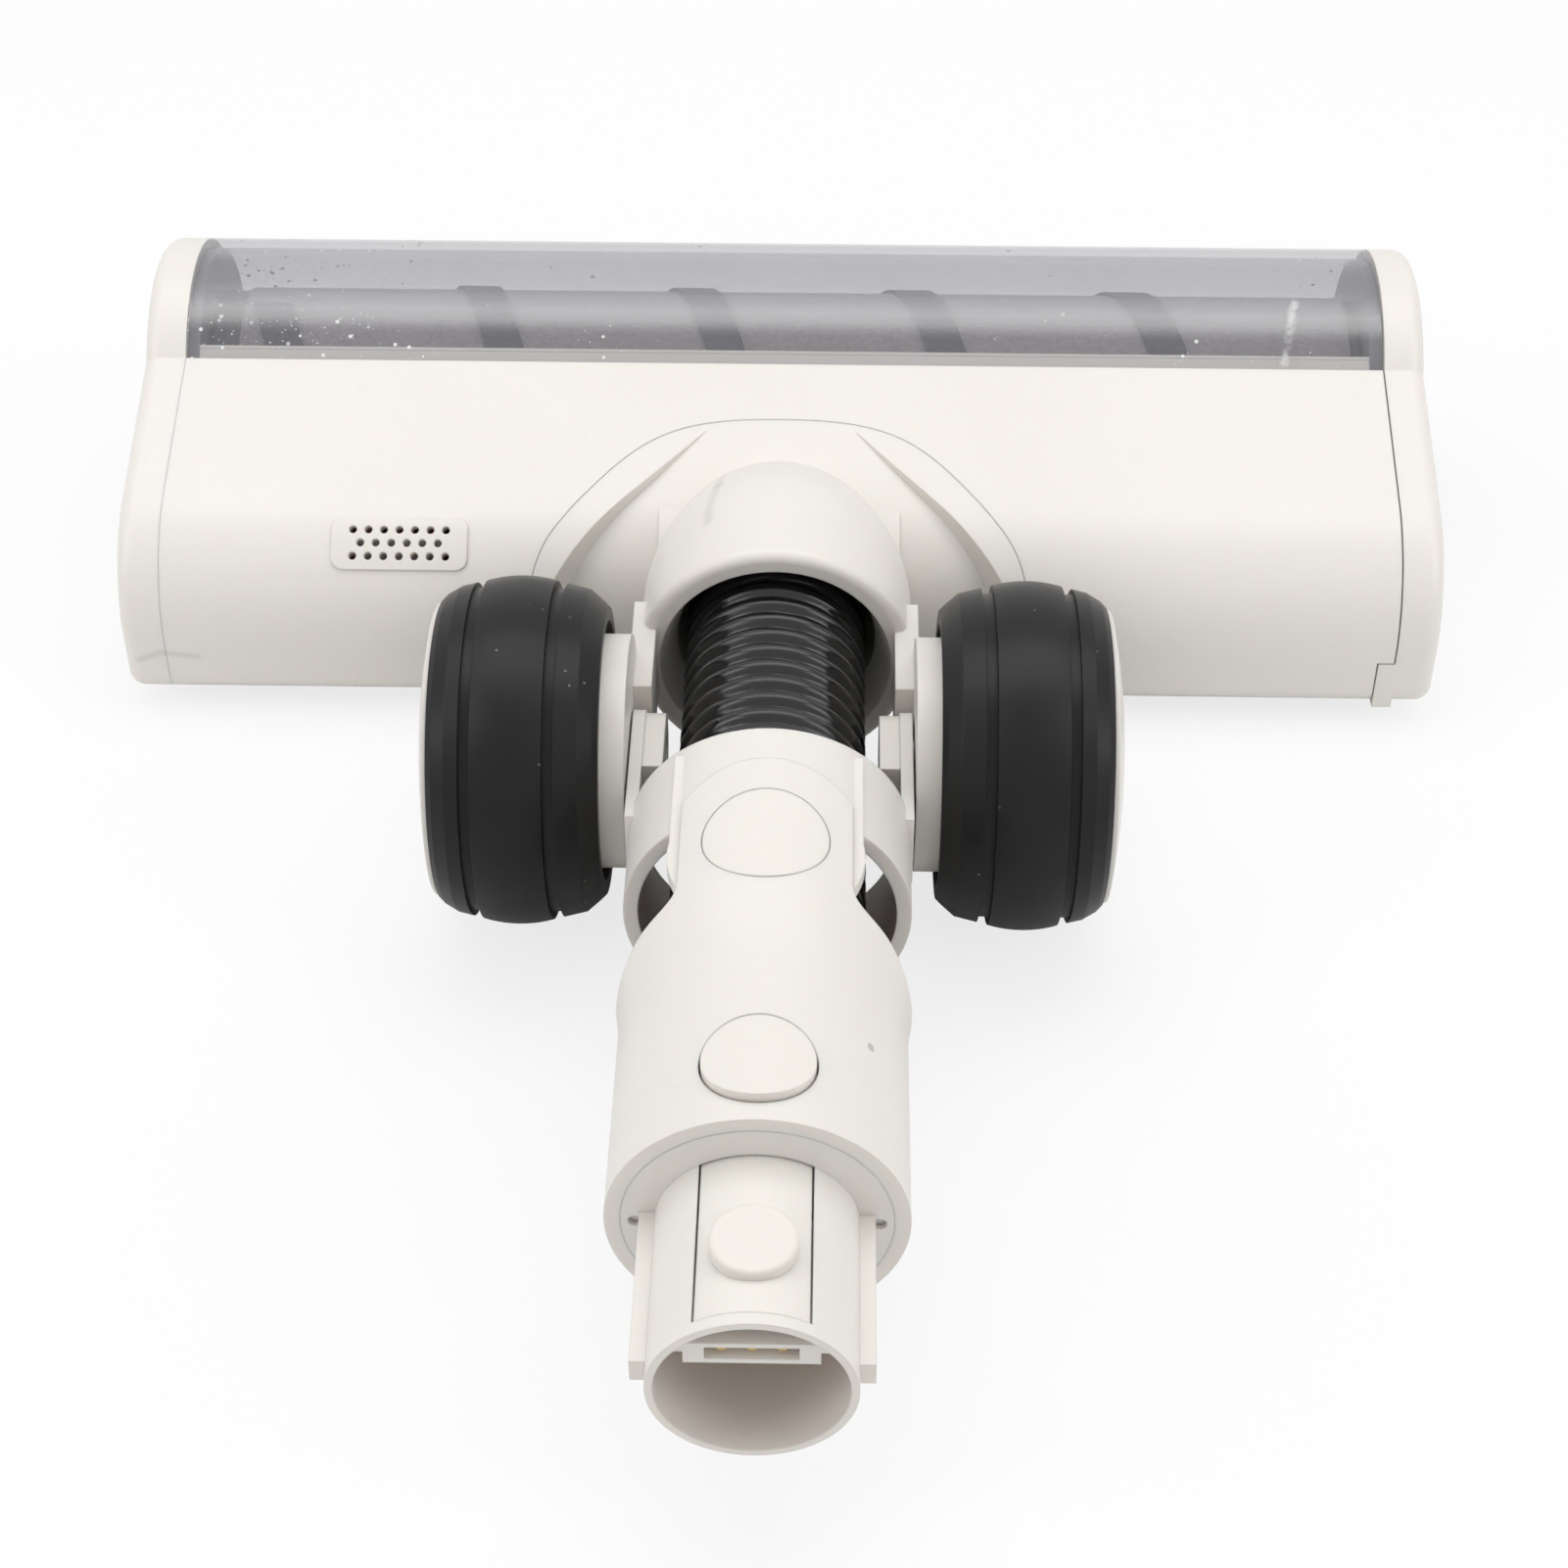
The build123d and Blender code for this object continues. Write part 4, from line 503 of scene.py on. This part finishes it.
def hose_skin(name, front, rear):
    """Skin of the hose between two places along Y."""
    skin = bmesh.new()
    count = int((front - rear) / RIB_PITCH * STEPS_PER_RIB)
    rings = []
    for i in range(count + 1):
        y = front + (rear - front) * i / count
        ribs = (hose_high.y - y) / RIB_PITCH
        rings.append(hose_ring(skin, y, lambda share: rib_radius(ribs + share)))
    for y in (rear, front):
        rings.append(hose_ring(skin, y, lambda share: HOSE_BORE))
    rings.append(rings[0])
    for one, two in zip(rings, rings[1:]):
        for k in range(STEPS_AROUND):
            after = (k + 1) % STEPS_AROUND
            skin.faces.new((one[k], one[after], two[after], two[k]))
    skin.normal_update()
    mesh = bpy.data.meshes.new(name)
    skin.to_mesh(mesh)
    skin.free()
    mesh.shade_smooth()
    mesh.materials.append(hose_plastic)
    made = bpy.data.objects.new(name, mesh)
    bpy.context.scene.collection.objects.link(made)
    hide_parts("hose")
    return made


HALVES_MEET = 20 * MM
hose_joint = axle.y - HALVES_MEET
hose_front = hose_skin("hose_front_half", hose_high.y, hose_joint)
hose_rear = hose_skin("hose_rear_half", hose_joint, hose_low.y)
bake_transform(hose_front)
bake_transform(hose_rear)
print("hose", len(hose_front.data.polygons), len(hose_rear.data.polygons), "faces")

# %% [markdown]
# The studio: a pale floor, one wide soft lamp overhead and two weaker ones at the sides. The background is
# white because the world is white to the camera and to mirrors, while it lights the object more gently.

# %% Floor, world and lamps
bpy.context.scene.view_settings.view_transform = "Standard"
FLOOR_SIZE = 8
FLOOR_DROP = 0.2 * MM
FLOOR_GLOW = 0.78
bpy.ops.mesh.primitive_plane_add(size=FLOOR_SIZE, location=(0, 0, -FLOOR_DROP))
floor = bpy.context.object
floor.name = "studio floor"
floor_finish, floor_shader, floor_paint = material("floor")
floor_shader.inputs["Base Color"].default_value = (0.88, 0.88, 0.88, 1)
floor_shader.inputs["Roughness"].default_value = 0.9
seen = floor_paint.node("ShaderNodeLightPath", {}, {}, output="Is Camera Ray")
glow = floor_paint.node("ShaderNodeEmission", {}, {"Color": (1, 1, 1, 1), "Strength": 1.0})
floor_body = Paint(floor_paint.tree, floor_shader.outputs["BSDF"])
floor_both = floor_paint.node("ShaderNodeMixShader", {}, {0: seen * FLOOR_GLOW, 1: floor_body, 2: glow})
link(floor_both, floor_paint.tree.nodes["Material Output"], "Surface")
floor.data.materials.append(floor_finish)

world = bpy.data.worlds.new("studio")
bpy.context.scene.world = world
world.use_nodes = True
air = Paint(world.node_tree)
sky = world.node_tree.nodes["Background"]
AMBIENT = 0.5
plain = 0
for kind in ("Camera", "Glossy", "Transmission"):
    plain = air.node("ShaderNodeLightPath", {}, {}, output=f"Is {kind} Ray") + plain
link(AMBIENT + plain.limited() * (1 - AMBIENT), sky, "Strength")
sky.inputs["Color"].default_value = (1, 1, 1, 1)


def lamp(name, place, aim, size, power):
    light = bpy.data.lights.new(name, "AREA")
    light.shape = "RECTANGLE"
    light.size, light.size_y = size
    light.energy = power
    made = bpy.data.objects.new(name, light)
    bpy.context.scene.collection.objects.link(made)
    made.location = place
    made.rotation_euler = (Vector(aim) - Vector(place)).to_track_quat("-Z", "Y").to_euler()


OVERHEAD_POWER = 6.7
SIDE_POWER = 3.6
SIDE_SIZE = (0.5, 0.9)
lamp("overhead", (0.0, 0.25, 1.1), (0, 0.02, 0), (1.5, 0.7), OVERHEAD_POWER)
for name, across in (("left side", -1.0), ("right side", 1.0)):
    lamp(name, (across, -0.35, 0.75), (0, 0, 0.02), SIDE_SIZE, SIDE_POWER)
print("studio ready")

# %% [markdown]
# The camera stands behind the neck and looks down at 42 degrees, a little to the right of the middle. A
# long lens from near by gives the picture's strong narrowing towards the roller.

# %% Camera
ELEVATION = math.radians(42)
YAW = math.radians(1.06)
FOCAL_PIXELS = 3000
PICTURE_PIXELS = 1601
SENSOR_WIDTH = 36
CAMERA_RIGHT = 9.6 * MM
CAMERA_BACK = 405 * MM
CAMERA_HIGH = 389 * MM
camera_data = bpy.data.cameras.new("camera")
camera_data.sensor_width = SENSOR_WIDTH
camera_data.lens = SENSOR_WIDTH * FOCAL_PIXELS / PICTURE_PIXELS
camera_data.dof.use_dof = False
camera = bpy.data.objects.new("camera", camera_data)
bpy.context.scene.collection.objects.link(camera)
camera.location = (CAMERA_RIGHT, axle.y - CAMERA_BACK, CAMERA_HIGH)
camera.rotation_euler = (math.pi / 2 - ELEVATION, 0, YAW)
bpy.context.scene.camera = camera
print("lens", round(camera_data.lens, 2), "mm")
